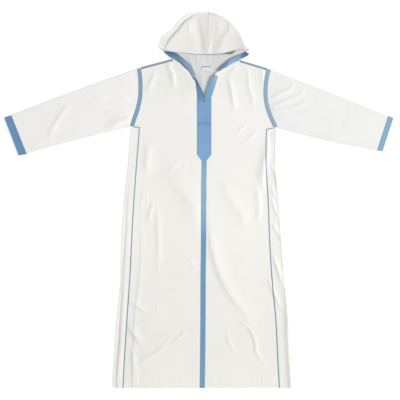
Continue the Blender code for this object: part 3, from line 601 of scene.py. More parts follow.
def panel(one, other, step, corners=()):
    """Rows of places in plan from one line to another with as many points."""
    at = stops(step, one, other)
    a, b = curve(one, at, corners), curve(other, at, corners)
    return between(a, b, shares(norm(b - a).max(), step))


def ribbon(line, width):
    """Rows of places across a band of one width along a line in plan."""
    along = unit(np.gradient(line, axis=0))
    aside = np.stack((-along[:, 1], along[:, 0]), axis=1) * width / 2
    return between(line + aside, line - aside, shares(width, BAND_STEP))


def arc(rim, outward, top):
    """The fold round a line of places in plan, between the upper layer and the lower."""
    angle = np.radians(np.linspace(90, -90, FOLD_STEPS + 1))[1:-1]
    plan = rim[:, None] + outward[:, None] * (FOLD_RADIUS * np.cos(angle))[None, :, None]
    return at_height(plan, BACK_MID + (top[:, None] - BACK_MID) * (1 + np.sin(angle)) / 2)


def fold_over(upper, lower):
    """Cloth folded along the last column of its upper layer, and on along its lower layer."""
    turn = arc(upper[:, -1, :2], unit(upper[:, -1, :2] - upper[:, -2, :2]), upper[:, -1, 2])
    return np.concatenate((upper, turn, lower_layer(lower)), axis=1)


def tube(upper):
    """A tube laid flat on the table: its upper layer, a fold, its lower layer and another fold."""
    plan, top = upper[..., :2], upper[..., 2]
    far = arc(plan[:, -1], unit(plan[:, -1] - plan[:, -2]), top[:, -1])
    near = arc(plan[:, 0], unit(plan[:, 0] - plan[:, 1]), top[:, 0])[:, ::-1]
    return np.concatenate((upper, far, at_height(plan[:, ::-1], BACK_MID), near), axis=1)


def near_fold(mid, columns, reach):
    """1 at a grid's fold, which comes after this many columns, and less away from it."""
    return bell(norm((mid - mid[:, columns - 1 : columns])[..., :2]), reach)


Shell = namedtuple("Shell", "points faces finish area flat rim")


def shell(mid, thickness=CLOTH, closed=False, finish=0, top=None, under=None, rim=0.0):
    """A closed wall of cloth round a grid of points on its middle, mid[row, column], with rounded edges.

    closed joins the last column to the first. top and under are finishes of one face each, where they
    differ. rim is how strongly each point takes its finish's second colour, which is painted shade on some
    pieces and a painted highlight on others."""
    rows, columns = mid.shape[:2]
    wrap = np.concatenate((mid[:, -1:], mid, mid[:, :1]), axis=1) if closed else mid
    normal = unit(np.cross(np.gradient(wrap, axis=1), np.gradient(wrap, axis=0)))
    normal, ring = (normal[:, 1:-1], wrap[:, 1:]) if closed else (normal, mid)
    down, over = travel(mid), travel(ring, axis=1)
    edge = np.minimum(down, down[-1:] - down)
    if not closed:
        edge = np.minimum(edge, np.minimum(over, over[:, -1:] - over))
    half = thickness / 2
    reach = half * np.sqrt(1 - np.clip(1 - edge / half, 0, SHARPEST) ** 2)
    lifted = normal * reach[..., None]
    points = np.concatenate(((mid + lifted).reshape(-1, 3), (mid - lifted).reshape(-1, 3)))
    number = np.arange(rows * columns).reshape(rows, columns)
    grid = np.concatenate((number, number[:, :1]), axis=1) if closed else number
    upper = np.stack((grid[:-1, :-1], grid[:-1, 1:], grid[1:, 1:], grid[1:, :-1]), axis=-1).reshape(-1, 4)
    rims = [grid[0], grid[-1][::-1]] + ([] if closed else [grid[::-1, 0], grid[:, -1]])
    far = rows * columns
    sides = [np.stack((line[1:], line[:-1], line[:-1] + far, line[1:] + far), axis=1) for line in rims]
    cells = np.cross(ring[1:, :-1] - ring[:-1, 1:], ring[1:, 1:] - ring[:-1, :-1])
    marks = [finish if top is None else top] * len(upper) + [finish if under is None else under] * len(upper)
    marks += [finish] * sum(map(len, sides))
    level = np.tile(np.broadcast_to(rim, mid.shape[:2]).ravel(), 2)
    faces = np.concatenate((upper, upper[:, ::-1] + far, *sides))
    return Shell(points, faces, marks, norm(cells).sum() / 2, (over[:, -1].max(), down[-1].max()), level)


# Corners of a stitch's faces: its first end, four round its near part, four round its far part, its last end
STITCH_FACES = np.array([
    face for k, m in ((0, 1), (1, 2), (2, 3), (3, 0))
    for face in ((0, 1 + m, 1 + k, 1 + k), (1 + k, 1 + m, 5 + m, 5 + k), (9, 5 + k, 5 + m, 5 + m))])
STITCH_POINTS = 10


def stitches(path, finish=1, up=1, length=STITCH, gap=STITCH_GAP, width=THREAD):
    """A row of stitches along a path on the cloth: each a short thread that dips in at both ends."""
    run = travel(path)
    count = int((run[-1] - length) // (length + gap)) + 1
    if count < 1:
        return []
    starts = np.arange(count) * (length + gap) + (run[-1] - count * (length + gap) + gap) / 2
    at = starts[:, None] + length * np.array(STITCH_SHARES)
    places = np.stack([np.interp(at, run, path[:, axis]) for axis in range(3)], axis=-1)
    rise = np.array((0, 0, up * THREAD))
    aside = unit(np.cross(rise, unit(places[:, -1:] - places[:, :1]))) * width / 2
    level = 0 * aside
    around = np.concatenate((aside, level + rise * STITCH_TOP, -aside, level - rise * STITCH_FOOT), axis=1)
    ends = places - rise * STITCH_ENDS
    points = (ends[:, :1], places[:, 1:2] + around, places[:, 2:3] + around, ends[:, 3:])
    faces = (np.arange(count)[:, None, None] * STITCH_POINTS + STITCH_FACES).reshape(-1, 4)
    points = np.concatenate(points, axis=1).reshape(-1, 3)
    return [Shell(points, faces, [finish] * len(faces), 0.0, (0.0, 0.0), np.zeros(len(points)))]


def rows_down(strip, places, unsewn, lift):
    """Rows of stitches down a strip, at shares across it, after a few rows of points that stay unsewn."""
    columns = (round(place * (strip.shape[1] - 1)) for place in places)
    return [row for column in columns for row in stitches(strip[unsewn:-2, column] + (0, 0, lift))]


def hem_row(start, stop):
    return stitches(on_top(dense(((start, HEM_LINE), (stop, HEM_LINE))), CLOTH / 2))


def dress(node, parts, finishes, flat=None):
    """Makes the piece that stands for a solid and hides the solid; its flat size and area are worked out but
    not used.
    """
    faces, marks, base = [], [], 0
    for made in parts:
        faces += [tuple(dict.fromkeys(face)) for face in (made.faces + base).tolist()]
        marks += made.finish
        base += len(made.points)
    mesh = bpy.data.meshes.new("cloth_" + node)
    mesh.from_pydata(np.concatenate([made.points for made in parts]).tolist(), [], faces)
    mesh.shade_smooth()
    for finish in finishes.split():
        mesh.materials.append(FINISHES[finish])
    mesh.polygons.foreach_set("material_index", np.array(marks, dtype=np.int32))
    rims = mesh.attributes.new("rim", "FLOAT", "POINT")
    rims.data.foreach_set("value", np.concatenate([made.rim for made in parts]))
    mesh.update()
    piece = bpy.data.objects.new("cloth_" + node, mesh)
    bpy.context.scene.collection.objects.link(piece)
    flat = flat or (max(SMALLEST_CUT, *(made.flat[0] for made in parts)), max(made.flat[1] for made in parts))
    area = min(sum(made.area for made in parts), flat[0] * flat[1])
    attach(piece, "root")
    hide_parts(node)


def side_line(side, short):
    """The side of a front or of the back, from its shoulder, which is set back, to its hem."""
    arm = side.armhole - side.gap
    arm[-1] = toward(arm[-1], arm[-2], UNDERARM_GAP)
    arm[0] -= shoulder(side)[1] * short
    return np.vstack((arm, side.corner - side.gap + (0, SEAM_GAP / 2), side.seam - side.gap))


def cloth_back():
    """The back panel, flat on the table, seen inside the neck and from below."""
    left, right = (side_line(side, FOLD_OUTER + SEAM_GAP) for side in SIDES)
    neck = HOOD[2] - (0, SEAM_GAP / 2)
    top = np.vstack((left[:1], neck, right[:1]))
    last = len(top) - 2
    columns = np.concatenate((
        np.linspace(0, 1, SHOULDER_STEPS + 1)[:-1], 1 + stops(BACK_NECK_STEP, neck, rounded=False)[:-1],
        last + np.linspace(0, 1, SHOULDER_STEPS)))
    ridge = curve(top, near_ends(columns, math.dist(*top[:2]), math.dist(*top[-2:])), corners=(1, last))
    fine = stops(BACK_NECK_STEP, *(line[: BACK_FINE_ROWS + 1] for line in (left, right)))
    coarse = stops(BACK_STEP, *(line[BACK_FINE_ROWS:] for line in (left, right)))
    down = np.concatenate((fine, BACK_FINE_ROWS + coarse[1:]))
    under = len(LEFT_ARMHOLE) - 1
    left, right = (curve(line, down, corners=(under, under + 1, under + 2)) for line in (left, right))
    v, u = travel(left)[:, None, None], travel(ridge)[None, :, None]
    v, u = v / v.max(), u / u.max()
    level = left[:, None] * (1 - u) + right[:, None] * u
    upright = ridge[None] * (1 - v) + (left[-1] * (1 - u) + right[-1] * u) * v
    bare = (ridge[0] * (1 - u) + ridge[-1] * u) * (1 - v) + (left[-1] * (1 - u) + right[-1] * u) * v
    mid = lower_layer(level + upright - bare)
    hem = dense((left[-1] + (LINE_STEP, HEM_WIDTH), right[-1] + (-LINE_STEP, HEM_WIDTH)))
    # The face seen inside the neck takes the greyer inside finish: painted shade
    parts = [shell(mid, under=2), *stitches(at_height(hem, UNDER_ROW), up=-1)]
    dress("back", parts, "white_cotton_body white_thread white_cotton_inside")


def cloth_front(side):
    """A front panel, from the fold over the shoulder to the hem, with its hem sewn."""
    middle, outward = SLIT_FOOT[0], shoulder(side)[1]
    front = side.front + side.gap * (side.front[:, :1] == middle)
    inner = np.vstack((front, (middle + side.gap[0], side.corner[1]), CENTRE + side.gap))
    inner[0] -= outward * FOLD_OUTER
    under = len(side.armhole) - 1
    plan = panel(inner, side_line(side, FOLD_OUTER), FRONT_STEP, corners=(under, under + 1, under + 2))
    mid = on_top(plan)
    curl = arc(plan[0], np.broadcast_to(outward, plan[0].shape), mid[0, :, 2])
    mid = np.concatenate((at_height(plan[:1], BACK_MID), curl.transpose(1, 0, 2)[::-1], mid))
    hem = hem_row(*(CENTRE[-1, :1] + 2 * side.gap[0]), *(side.seam[-1, :1] - 2 * side.gap[0]))
    dress("front_" + side.name, [shell(mid), *hem], "white_cotton_body white_thread")


def cloth_gore(side):
    """A side gore, folded along the side of the body."""
    seam = np.vstack((side.corner + side.gap - (0, SEAM_GAP / 2), side.seam + side.gap))
    start = side.armhole[-1] + GORE_START * (side.sign, 1)
    turn = np.vstack((start, side.fold)) - (side.sign * FOLD_OUTER, 0)
    plan = panel(seam, turn, GORE_STEP, corners=(1,))
    mid = fold_over(on_top(plan), plan[:, ::-1])
    hem = hem_row(seam[-1, 0] + side.gap[0], turn[-1, 0] + side.sign * HEM_ROW_OVER)
    # The fold takes its finish's second colour: a painted highlight on the left gore, painted shade on the
    # right
    parts = [shell(mid, rim=near_fold(mid, plan.shape[1], GORE_PAINTED_LIGHT_REACH)), *hem]
    dress("gore_" + side.name, parts, f"white_cotton_{side.name}_gore white_thread")


def sleeve_plan(side, share, down):
    """Places on a sleeve: share along it from the armhole, and down across it from its upper edge."""
    hole = dense(side.armhole) + side.gap
    top, foot = hole[0], hole[-1]
    share, down = np.broadcast_arrays(share, down)
    upper, lower = (start + (end - start) * share[..., None] for start, end in zip((top, foot), side.sleeve))
    place = upper + (lower - upper) * down[..., None]
    level = top[1] + (foot[1] - top[1]) * down
    curved = np.interp(level, hole[::-1, 1], hole[::-1, 0]) - (top[0] + (foot[0] - top[0]) * down)
    place[..., 0] += curved * (1 - share) ** 2
    place[..., 1] += (side.bow[0] + (side.bow[1] - side.bow[0]) * down) * 4 * share * (1 - share)
    return place


def cloth_sleeve(side):
    """A sleeve: a tube laid flat, with air in it, between armhole and cuff."""
    length = math.dist(side.armhole[0], side.sleeve[0])
    share = shares(length, SLEEVE_STEP)[:, None]
    edges = sleeve_plan(side, share, np.array(((0.0, 1.0),)))
    width = norm(edges[:, 1:] - edges[:, :1])
    inset = FOLD_OUTER / width
    down = inset + (1 - 2 * inset) * np.linspace(0, 1, round(width.max() / SLEEVE_STEP))
    from_ends, from_edges = np.minimum(share, 1 - share) * length, np.minimum(down, 1 - down) * width
    loft = SLEEVE_LOFT * smooth(from_ends / SLEEVE_EASE) * np.sqrt(smooth(from_edges / SLEEVE_SIDE_EASE))
    mid = tube(on_top(sleeve_plan(side, share, down), loft))
    parts = [shell(mid, closed=True)]
    dress("sleeve_" + side.name, parts, f"white_cotton_{side.name}_sleeve")


def cloth_cuff(side):
    """The blue band at the sleeve's end, a tube laid flat and sewn along both its edges."""
    near = side.sleeve + unit(side.mouth.mean(0) - side.sleeve.mean(0)) * SEAM_GAP
    share = shares(norm(side.mouth - near).mean(), TRIM_STEP)[:, None, None]
    upper, lower = (near[n] + (side.mouth[n] - near[n]) * share for n in (0, 1))
    aside = unit(near[1] - near[0])
    down = np.linspace(0, 1, round(math.dist(*near) / SLEEVE_STEP))[None, :, None]
    plan = upper + aside * FOLD_OUTER + (lower - upper - 2 * aside * FOLD_OUTER) * down
    level = FRONT_MID + CUFF_LIFT
    mid = tube(at_height(plan, level + crinkle(plan[..., 0], plan[..., 1])))
    parts = [shell(mid, closed=True)]
    for row in CUFF_ROWS:
        start, stop = (edge[0, 0] + (edge[-1, 0] - edge[0, 0]) * row for edge in (upper, lower))
        line = dense((start + aside * CUFF_INSET, stop - aside * CUFF_INSET))
        parts += stitches(at_height(line, level + CLOTH / 2 + crinkle(line[:, 0], line[:, 1])))
        parts += stitches(at_height(line, UNDER_ROW), up=-1)
    dress("cuff_" + side.name, parts, f"blue_{side.name}_cuff blue_thread")


def cloth_hood(side):
    """Half of the hood, folded over at its rim, from its front edge round to the neck."""
    half = slice(HOOD_MIDDLE, None, side.sign)
    edge, fold, neck = (line[half].copy() for line in HOOD)
    neck += (0, SEAM_GAP / 2)
    for line in (edge, fold, neck):
        line[0] += side.gap
    at = stops(HOOD_STEP, edge, fold, neck)
    edge, fold, neck = (curve(line, at) for line in (edge, fold, neck))
    turn = fold - unit(fold - edge) * FOLD_OUTER
    length = norm(turn - edge)[:, None]
    across = shares(length.max(), HOOD_STEP)
    upper = between(edge, turn, across)
    lower = between(turn, neck, shares(norm(neck - turn).max(), HOOD_STEP))
    mid = fold_over(at_height(upper, hood_height(upper, length * across, length * (1 - across))), lower)
    # The face of the hood's lower layer seen inside the neck takes the greyer inside finish: painted shade
    painted_shade_face = {"under": 2} if side is LEFT else {"top": 2}
    # The fold takes its finish's second colour: a painted highlight on the left half, painted shade on the
    # right
    parts = [shell(mid, rim=near_fold(mid, upper.shape[1], HOOD_PAINTED_LIGHT_REACH), **painted_shade_face)]
    if side is RIGHT:
        seam = dense(HOOD_SEAM)
        z = hood_height(seam, *HOOD_SEAM_CLEAR) + CLOTH / 2
        parts += stitches(at_height(seam, z), **HOOD_STITCH)
    finishes = f"white_cotton_{side.name}_hood grey_thread white_cotton_inside"
    dress("hood_" + side.name, parts, finishes)


def cloth_hood_facing(side):
    """The blue facing along the hood's edge, which is turned outwards over the front."""
    at = stops(TRIM_STEP, *side.facing[:2])
    outer, inner, level = (curve(line, at) for line in side.facing)
    width = norm(outer - inner)[:, None]
    plan = between(outer, inner, shares(width.max(), FACING_STEP))
    share = np.linspace(0, 1, plan.shape[1])
    cloth = on_top(plan)[..., 2] - FRONT_MID - FACING_SINK + FACING_ROLL * np.sin(math.pi * share) ** 2
    mid = at_height(plan, level + cloth * smooth((level - FACING_DOWN) / (FACING_UP - FACING_DOWN)))
    # Painted shade: the inner stripe of the facing takes its finish's darker second colour
    rim = smooth((width * (share - 1) + FACING_PAINTED_SHADE_WIDTH) / FACING_PAINTED_SHADE_EASE)
    parts = [shell(mid, thickness=FACING, rim=rim), *rows_down(mid, FACING_ROWS, FACING_UNSEWN, FACING / 2)]
    finishes = f"blue_{side.name}_facing blue_thread"
    dress("hood_facing_" + side.name, parts, finishes)


def cloth_hood_facing_top():
    """The same facing inside the hood's front edge, of which a thin line shows; it is coloured grey as
    painted shadow under the edge, and reaches further down near the right corner as a painted shadow wedge.
    """
    edge = HOOD[0][HOOD_EDGE_POINTS]
    # Painted shadow wedge: near the right corner the grey strip reaches further below the hood's edge
    painted_wedge = HOOD_PAINTED_SHADOW_WEDGE * bell(edge[:, 0] - HOOD_PAINTED_SHADOW_WEDGE_X, HOOD_PAINTED_SHADOW_WEDGE_WIDTH)
    rim = edge - np.stack((0 * painted_wedge, HOOD_EDGE_SHOWS + painted_wedge), axis=1)
    mid = at_height(panel(rim, edge + (0, HOOD_EDGE_STRIP), TRIM_STEP), INSIDE_MID)
    parts = [shell(mid, thickness=TAPE)]
    dress("hood_facing_top", parts, "blue_facing_inside")


def placket_lip(y):
    """The placket's top lies a little higher, over the foot of its arms."""
    return PLACKET_LIP * smooth((y - LIP_START) / LIP_LENGTH)


def placket_rows():
    """Straight runs of stitches round the placket's block and once across it."""
    left, right = PLACKET_LEFT + STITCH_INSET, PLACKET_RIGHT - STITCH_INSET
    middle, toe = (PLACKET_LEFT + PLACKET_RIGHT) / 2, CENTRE_BAND / 2 - STITCH_INSET
    top, foot = PLACKET_TOP - STITCH_INSET, PLACKET_FOOT + STITCH_INSET
    corner = PLACKET_CORNER + STITCH_INSET / 2
    round_it = (
        (left, top), (left, corner), (middle - toe, foot), (middle + toe, foot),
        (right, corner), (right, top), (left, top))
    for run in (*zip(round_it, round_it[1:]), ((left, PLACKET_SEAMS[1]), (right, PLACKET_SEAMS[1]))):
        line = dense(run)
        yield from stitches(on_top(line, TAPE_OVER + TAPE / 2 + placket_lip(line[:, 1])))


def cloth_placket():
    """The placket: a pointed block, sewn round and across, over an arm up each side of the neck slit."""
    middle, half = (PLACKET_LEFT + PLACKET_RIGHT) / 2, (PLACKET_RIGHT - PLACKET_LEFT) / 2
    x = PLACKET_LEFT + 2 * half * shares(2 * half, BAND_STEP)[None]
    slant = np.clip((np.abs(x - middle) - CENTRE_BAND / 2) / (half - CENTRE_BAND / 2), 0, 1)
    foot = PLACKET_FOOT + (PLACKET_CORNER - PLACKET_FOOT) * slant
    y = PLACKET_TOP + (foot - PLACKET_TOP) * shares(PLACKET_TOP - PLACKET_FOOT, BAND_STEP)[:, None]
    groove = sum(bell(y - seam, GROOVE_WIDTH) for seam in PLACKET_SEAMS)
    plan = np.stack(np.broadcast_arrays(x, y), axis=-1)
    parts = [shell(on_top(plan, TAPE_OVER + placket_lip(y) - PLACKET_GROOVE * groove), thickness=TAPE)]
    for arm, finish, slit in ((LEFT_ARM, 2, -1), (RIGHT_ARM, 3, 0)):
        strip = on_top(panel(*arm, ARM_STEP), TAPE_OVER - ARM_SINK)
        strip[..., 2] += ARM_ROLL * np.sin(math.pi * np.linspace(0, 1, strip.shape[1]))
        across = norm(strip - strip[:, [slit]])
        # Painted shade: each arm takes its finish's darker second colour along one edge
        parts.append(shell(strip, thickness=TAPE, finish=finish, rim=1 - smooth(across / ARM_PAINTED_SHADE_WIDTH)))
        parts += rows_down(strip, ARM_ROWS, ARM_UNSEWN, TAPE / 2)
    parts += placket_rows()
    flat = (RIGHT_ARM[0][-1, 0] - LEFT_ARM[0][-1, 0], RIGHT_ARM[1][-1, 1] - PLACKET_FOOT)
    finishes = "blue_placket blue_thread blue_left_arm blue_right_arm"
    dress("placket", parts, finishes, flat)


def taped(node, points, width, finish, corners=(), sewn=True):
    """A band of cloth of one width along a line on the upper layer, sewn along both edges."""
    line = curve(points, stops(TRIM_STEP, points), corners)
    parts = [shell(on_top(ribbon(line, width), TAPE_OVER), thickness=TAPE)]
    if sewn:
        finish += " blue_thread"
        sewing = ribbon(line, width - 2 * STITCH_INSET)
        for edge in (sewing[:, 0], sewing[:, -1]):
            parts += stitches(on_top(edge, TAPE_OVER + TAPE / 2))
    dress(node, parts, finish)


def cloth_centre_band():
    """The band down the middle of the front, from the placket's foot to the hem."""
    points = np.vstack(((SLIT_FOOT[0], PLACKET_FOOT - SEAM_GAP), CENTRE[1:]))
    taped("centre_band", points, CENTRE_BAND, "blue_centre_band")


def cloth_armhole_tape(side):
    """The tape over the seam of the armhole."""
    points = side.armhole.copy()
    points[0] = toward(points[0], points[1], FOLD_OUTER)
    points[-1] = toward(points[-1], points[-2], FOLD_OUTER)
    taped("armhole_tape_" + side.name, points, ARMHOLE_TAPE, f"blue_{side.name}_tape")


def cloth_piping(side):
    """The narrow piping along the seam between front and gore."""
    points = piping_line(side)
    points[0] = toward(points[0], points[1], ARMHOLE_TAPE / 2 + TAPE)
    taped("piping_" + side.name, points, PIPING, "blue_piping", corners=(1,), sewn=False)


def cloth_shoulder_tape(side):
    """The tape over the fold of the shoulder, half of it on the front and half turned under."""
    (rest, edge), outward = shoulder(side)
    ends = toward(rest, edge, SHOULDER_TAPE_START), toward(edge, rest, ARMHOLE_TAPE / 2 + TAPE)
    line = dense(ends, SHOULDER_LINE_STEP)
    flat = np.linspace(-SHOULDER_TAPE, -FOLD_OUTER, SHOULDER_FLAT_STEPS)
    radius = FOLD_RADIUS + CLOTH / 2 + TAPE / 2 + SHOULDER_TAPE_CLEAR
    angle = np.radians(np.linspace(90, 0, SHOULDER_TURN_STEPS))[1:]
    away = np.concatenate((flat, -FOLD_OUTER + radius * np.cos(angle), [-FOLD_OUTER + radius] * 2))
    centre, high = (FRONT_MID + BACK_MID) / 2, on_top(line, TAPE_OVER)[:, 2:]
    turned = np.tile(SHOULDER_TAPE_TURNED, (len(line), 1))
    z = np.hstack((np.tile(high, len(flat)), centre + (high - centre) * np.sin(angle), turned))
    mid = at_height(line[:, None] + outward * away[:, None], z)
    parts = [shell(mid, thickness=TAPE), *stitches(mid[1:-1, 1] + (0, 0, TAPE / 2))]
    finishes = "blue_shoulder_tape blue_thread"
    dress("shoulder_tape_" + side.name, parts, finishes)


def cloth_label():
    """The bare label inside the neck, sewn along its top."""
    top = HOOD[2][HOOD_MIDDLE, 1] - LABEL_BELOW_SEAM
    corner = np.array((LABEL_MIDDLE - LABEL_WIDTH / 2, top))
    left = np.array((corner, corner - (0, LABEL_HEIGHT)))
    plan = panel(left, left + (LABEL_WIDTH, 0), LABEL_STEP)
    u, v = np.moveaxis((plan - corner) / (LABEL_WIDTH, -LABEL_HEIGHT), -1, 0)
    mid = at_height(plan, LABEL_MID + LABEL_ROLL * v**2 * np.sin(math.pi * u))
    half = LABEL_WIDTH / 2 - LABEL_SEAM_INSET
    row = dense([(LABEL_MIDDLE + end, top - LABEL_SEAM / 2) for end in (-half, half)])
    parts = [shell(mid, thickness=LABEL), *stitches(at_height(row, LABEL_SEAM_Z), **LABEL_STITCH)]
    dress("neck_label", parts, "label_satin slate_thread")


def add_node(tree, kind, feeds, output=0, **settings):
    """Adds a shader node, with values or other nodes' outputs for its inputs, and returns an output."""
    made = tree.nodes.new("ShaderNode" + kind)
    for name, value in settings.items():
        setattr(made, name, value)
    feed(tree, made, feeds)
    return made.outputs[output]


def feed(tree, made, feeds):
    for key, value in feeds.items():
        if isinstance(value, bpy.types.NodeSocket):
            tree.links.new(value, made.inputs[key])
        else:
            made.inputs[key].default_value = value


def ramp(tree, share, stages, kind="LINEAR"):
    """A colour that changes with a share; stages are pairs of a share and its colour."""
    made = tree.nodes.new("ShaderNodeValToRGB")
    band = made.color_ramp
    band.interpolation = kind
    middle = [band.elements.new(at) for at, colour in stages[1:-1]]
    for element, (at, colour) in zip((band.elements[0], *middle, band.elements[-1]), stages):
        element.position, element.color = at, colour
    feed(tree, made, {"Fac": share})
    return made.outputs["Color"]


def along_piece(tree, place, axis, stages):
    """A colour that changes along an axis, 0 for X or 1 for Y, from stages of a place and its colour."""
    low, high = stages[0][0], stages[-1][0]
    at = add_node(tree, "SeparateXYZ", {0: place}, axis)
    feeds = {"Value": at, "From Min": low / 1000, "From Max": high / 1000}
    reach = add_node(tree, "MapRange", feeds, "Result")
    return ramp(tree, reach, [((at - low) / (high - low), seen(colour)) for at, *colour in stages], "EASE")


def threads(tree, place, direction, period):
    """Ridges of parallel threads, this far apart, about no height."""
    feeds = {"Scale": math.pi / 10 / period, "Distortion": THREAD_WAVER, "Detail": 0.0, "Vector": place}
    ridges = add_node(tree, "TexWave", feeds, "Fac", bands_direction=direction)
    return add_node(tree, "Math", {0: ridges, 1: 0.5}, operation="SUBTRACT")


def cotton(name, colour, turn, variation, rim=None, axis=1, weave=WEAVE, roughness=(0.84, 0.95)):
    """Plain-woven cotton, its threads turned by an angle in degrees.

    colour is one colour, or stages along an axis in millimetres, and rim is a second colour; stages and
    second colours carry painted shade and highlight on many pieces."""
    material = FINISHES[name] = bpy.data.materials.new(name)
    material.use_nodes = True
    tree = material.node_tree
    here = add_node(tree, "TexCoord", {}, "Object")
    place = add_node(tree, "Mapping", {"Vector": here, "Rotation": (0, 0, math.radians(turn))})
    warp, weft = (threads(tree, place, direction, weave) for direction in "XY")
    crossing = add_node(tree, "Math", {0: warp, 1: weft}, operation="MULTIPLY")
    slub = add_node(tree, "TexNoise", {"Scale": SLUB_SCALE, "Detail": 3.0, "Vector": place}, "Fac")
    uneven = add_node(tree, "Math", {0: slub, 1: SLUB_SHARE}, operation="MULTIPLY")
    height = add_node(tree, "Math", {0: crossing, 1: uneven}, operation="ADD")
    bump = add_node(tree, "Bump", {"Strength": BUMP_STRENGTH, "Distance": BUMP_DEPTH, "Height": height})
    patches = add_node(tree, "TexNoise", {"Scale": PATCH_SCALE, "Detail": 5.0, "Vector": place}, "Fac")
    shown = along_piece(tree, here, axis, colour) if isinstance(colour[0], tuple) else seen(colour)
    if rim:
        taken = add_node(tree, "Attribute", {}, "Fac", attribute_name="rim")
        shown = add_node(tree, "Mix", {0: taken, 6: shown, 7: seen(rim)}, 2, data_type="RGBA")
    greys = (1 - variation, 1 + variation)
    spots = ramp(tree, patches, [(at, (grey, grey, grey, 1)) for at, grey in zip(PATCH_RANGE, greys)])
    base = add_node(tree, "Mix", {0: 1.0, 6: shown, 7: spots}, 2, data_type="RGBA", blend_type="MULTIPLY")
    feeds = {"Value": slub, "To Min": roughness[0], "To Max": roughness[1]}
    rough = add_node(tree, "MapRange", feeds, "Result")
    looks = {"Normal": bump, "Base Color": base, "Roughness": rough, **SHEEN}
    feed(tree, tree.nodes["Principled BSDF"], looks)


def make_floor():
    """A large plain pale floor that the garment lies on."""
    bpy.ops.mesh.primitive_plane_add(size=FLOOR_SIZE, location=(0, 0, FLOOR_Z))
    floor = bpy.context.object
    floor.name = "floor"
    material = bpy.data.materials.new("pale_floor")
    material.use_nodes = True
    feed(material.node_tree, material.node_tree.nodes["Principled BSDF"], {
        "Base Color": (FLOOR_ALBEDO, FLOOR_ALBEDO, FLOOR_ALBEDO, 1), "Roughness": 0.9,
        "Specular IOR Level": 0.0, "Emission Color": (1, 1, 1, 1), "Emission Strength": FLOOR_GLOW})
    floor.data.materials.append(material)


def place_in_scene(name, data, location, rotation=(0, 0, 0)):
    made = bpy.data.objects.new(name, data)
    made.location, made.rotation_euler = location, rotation
    bpy.context.scene.collection.objects.link(made)
    return made


def make_light():
    """Soft light from all round, a large soft lamp low on the right, and a weaker one beyond the hood."""
    world = bpy.data.worlds.new("studio")
    world.use_nodes = True
    background = world.node_tree.nodes["Background"]
    feed(world.node_tree, background, {"Color": (1, 1, 1, 1), "Strength": WORLD_LIGHT})
    bpy.context.scene.world = world
    for name, azimuth, elevation, distance, size, power in LAMPS:
        data = bpy.data.lights.new(name, "AREA")
        data.shape, data.size, data.energy, data.color = "DISK", size, power, (1.0, 0.995, 0.985)
        turn, rise = math.radians(azimuth), math.radians(elevation)
        level = math.cos(rise)
        place = Vector((math.cos(turn) * level, math.sin(turn) * level, math.sin(rise)))
        place_in_scene(name, data, place * distance, place.to_track_quat("Z", "Y").to_euler())


def make_camera():
    """Straight down, as wide at the cloth as the photograph."""
    data = bpy.data.cameras.new("camera")
    data.type, data.lens, data.sensor_width = "PERSP", LENS, SENSOR
    height = FRONT_MID + PHOTO_WIDTH * LENS / SENSOR
    bpy.context.scene.camera = place_in_scene("camera", data, (VIEW_X, 0, height))


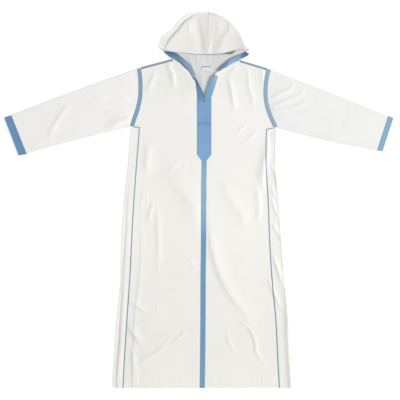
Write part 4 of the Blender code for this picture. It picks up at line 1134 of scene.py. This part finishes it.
# Finishes: one colour of red, green and blue, or stages of a place in millimetres and its colour;
# then the second colour, where a piece has one. Much of both is painted shade and highlight, noted by each
# row
# Painted shade on the white cloth of body and gores: a little darker towards the hem and towards the neck
BODY_PAINTED_SHADE_DOWN = (
    (-740, 238, 237, 231), (-580, 236, 235, 230), (-400, 238, 237, 232), (-100, 241, 240, 236),
    (360, 240, 239, 236), (460, 237, 237, 233))
for name, variation, turn, colour, *rim in (
    ("white_cotton_body", 0.010, 0, BODY_PAINTED_SHADE_DOWN),
    # The gores' fold takes a second colour: a painted highlight on the left gore, painted shade on the right
    ("white_cotton_left_gore", 0.010, 0, BODY_PAINTED_SHADE_DOWN, (252, 251, 247)),
    ("white_cotton_right_gore", 0.010, 0, BODY_PAINTED_SHADE_DOWN, (222, 221, 216)),
    # The sleeves are one cloth: the right is given darker as painted shade, to hold back the key lamp on the
    # right
    ("white_cotton_left_sleeve", 0.010, 14, (241, 240, 238)),
    ("white_cotton_right_sleeve", 0.010, -14, (236, 236, 235)),
    # The left half of the hood is painted greyer than the body as shade of its folds, with a painted
    # highlight along its fold
    ("white_cotton_left_hood", 0.014, 0, (233, 232, 228), (248, 247, 243)),
    # Greyer cloth seen inside the neck and the hood: painted shade where it lies sunken, and the greyer look
    # of a single layer
    ("white_cotton_inside", 0.030, 0, (216, 217, 217)),
    # The placket's blue darkens in a narrow band at its seam across (306 mm): painted shade in the seam's
    # groove
    ("blue_placket", 0.06, 0, (
        (170, 130, 168, 208), (294, 126, 164, 204), (306, 114, 152, 192), (316, 124, 162, 201),
        (380, 126, 164, 203))),
    # The left arm is painted darker up the slit, and darker still along its slit edge: painted shade
    ("blue_left_arm", 0.06, -30, (
        (385, 124, 156, 192), (415, 104, 142, 182), (440, 88, 136, 176), (482, 74, 104, 132)), (78, 98, 122)),
    # The right arm is lighter towards the top, and takes a darker second colour along its outer edge: painted
    # shade
    ("blue_right_arm", 0.05, 25, (
        (390, 122, 160, 194), (435, 122, 168, 208), (490, 142, 176, 204)), (118, 148, 170)),
    ("blue_centre_band", 0.06, 0, (
        (-740, 122, 157, 184), (-560, 112, 156, 190), (-145, 112, 156, 190), (-105, 129, 169, 199),
        (20, 142, 179, 204), (160, 134, 172, 201))),
    # The left facing is painted darker towards the hood's corner, and its inner stripe darker still: painted
    # shade
    ("blue_left_facing", 0.08, -40, (
        (488, 136, 162, 184), (512, 126, 152, 180), (545, 132, 158, 188), (566, 106, 144, 172),
        (592, 72, 110, 152)), (92, 116, 136)),
    # The left tape is a darker copy of the right: painted shade on the side away from the key lamp
    ("blue_left_tape", 0.07, 0, (132, 160, 187)),
    ("blue_right_tape", 0.07, 0, (146, 172, 194)),
    ("blue_shoulder_tape", 0.05, -20, (143, 157, 173)),
    ("blue_piping", 0.10, 0, ((-600, 122, 148, 166), (-100, 130, 154, 172), (250, 142, 164, 180))),
    # The left cuff is darker than the right: partly painted shade away from the key lamp, partly its own
    # deeper blue
    ("blue_left_cuff", 0.05, 20, (105, 146, 185)),
    ("blue_right_cuff", 0.04, -20, (137, 172, 200)),
):
    cotton(name, colour, turn, variation, *rim)
for name, variation, turn, colour, *rim in (
    # The right half of the hood is painted darker towards its corner and at its fold: painted shade
    ("white_cotton_right_hood", 0.014, 0, (
        (36, 229, 228, 224), (90, 230, 229, 226), (130, 225, 224, 221),
        (180, 214, 213, 210)), (218, 217, 214)),
    # The right facing is painted darker at both ends, and its inner stripe darker: painted shade
    ("blue_right_facing", 0.05, 30, (
        (80, 116, 138, 158), (104, 116, 144, 184), (130, 138, 174, 206), (158, 124, 162, 192),
        (176, 94, 118, 158), (196, 92, 104, 146)), (98, 126, 136)),
    # The strip below the hood's edge: grey, darkest near the right corner, as painted shadow under the edge
    # and in the hood's opening
    ("blue_facing_inside", 0.05, 0, (
        (-90, 184, 186, 186), (-20, 166, 167, 170), (90, 166, 168, 170), (118, 136, 140, 136),
        (145, 140, 144, 146))),
):
    cotton(name, colour, turn, variation, *rim, axis=0)
for name, colour in (
    ("white_thread", (232, 231, 228)), ("grey_thread", (176, 176, 176)), ("blue_thread", (126, 166, 206)),
    ("slate_thread", (112, 115, 138)),
):
    cotton(name, colour, 35, 0.05, weave=THREAD_TWIST, roughness=(0.55, 0.75))
# The label is greyed like the inside of the neck: painted shade
cotton("label_satin", (222, 224, 228), 0, 0.01, weave=SATIN_WEAVE, roughness=(0.45, 0.6))

cloth_back()
for side in SIDES:
    cloth_front(side)
    cloth_gore(side)
    cloth_sleeve(side)
    cloth_cuff(side)
    cloth_hood(side)
    cloth_hood_facing(side)
    cloth_armhole_tape(side)
    cloth_shoulder_tape(side)
    cloth_piping(side)
cloth_hood_facing_top()
cloth_placket()
cloth_centre_band()
cloth_label()

make_floor()
make_light()
make_camera()
bpy.context.scene.view_settings.view_transform = "Standard"
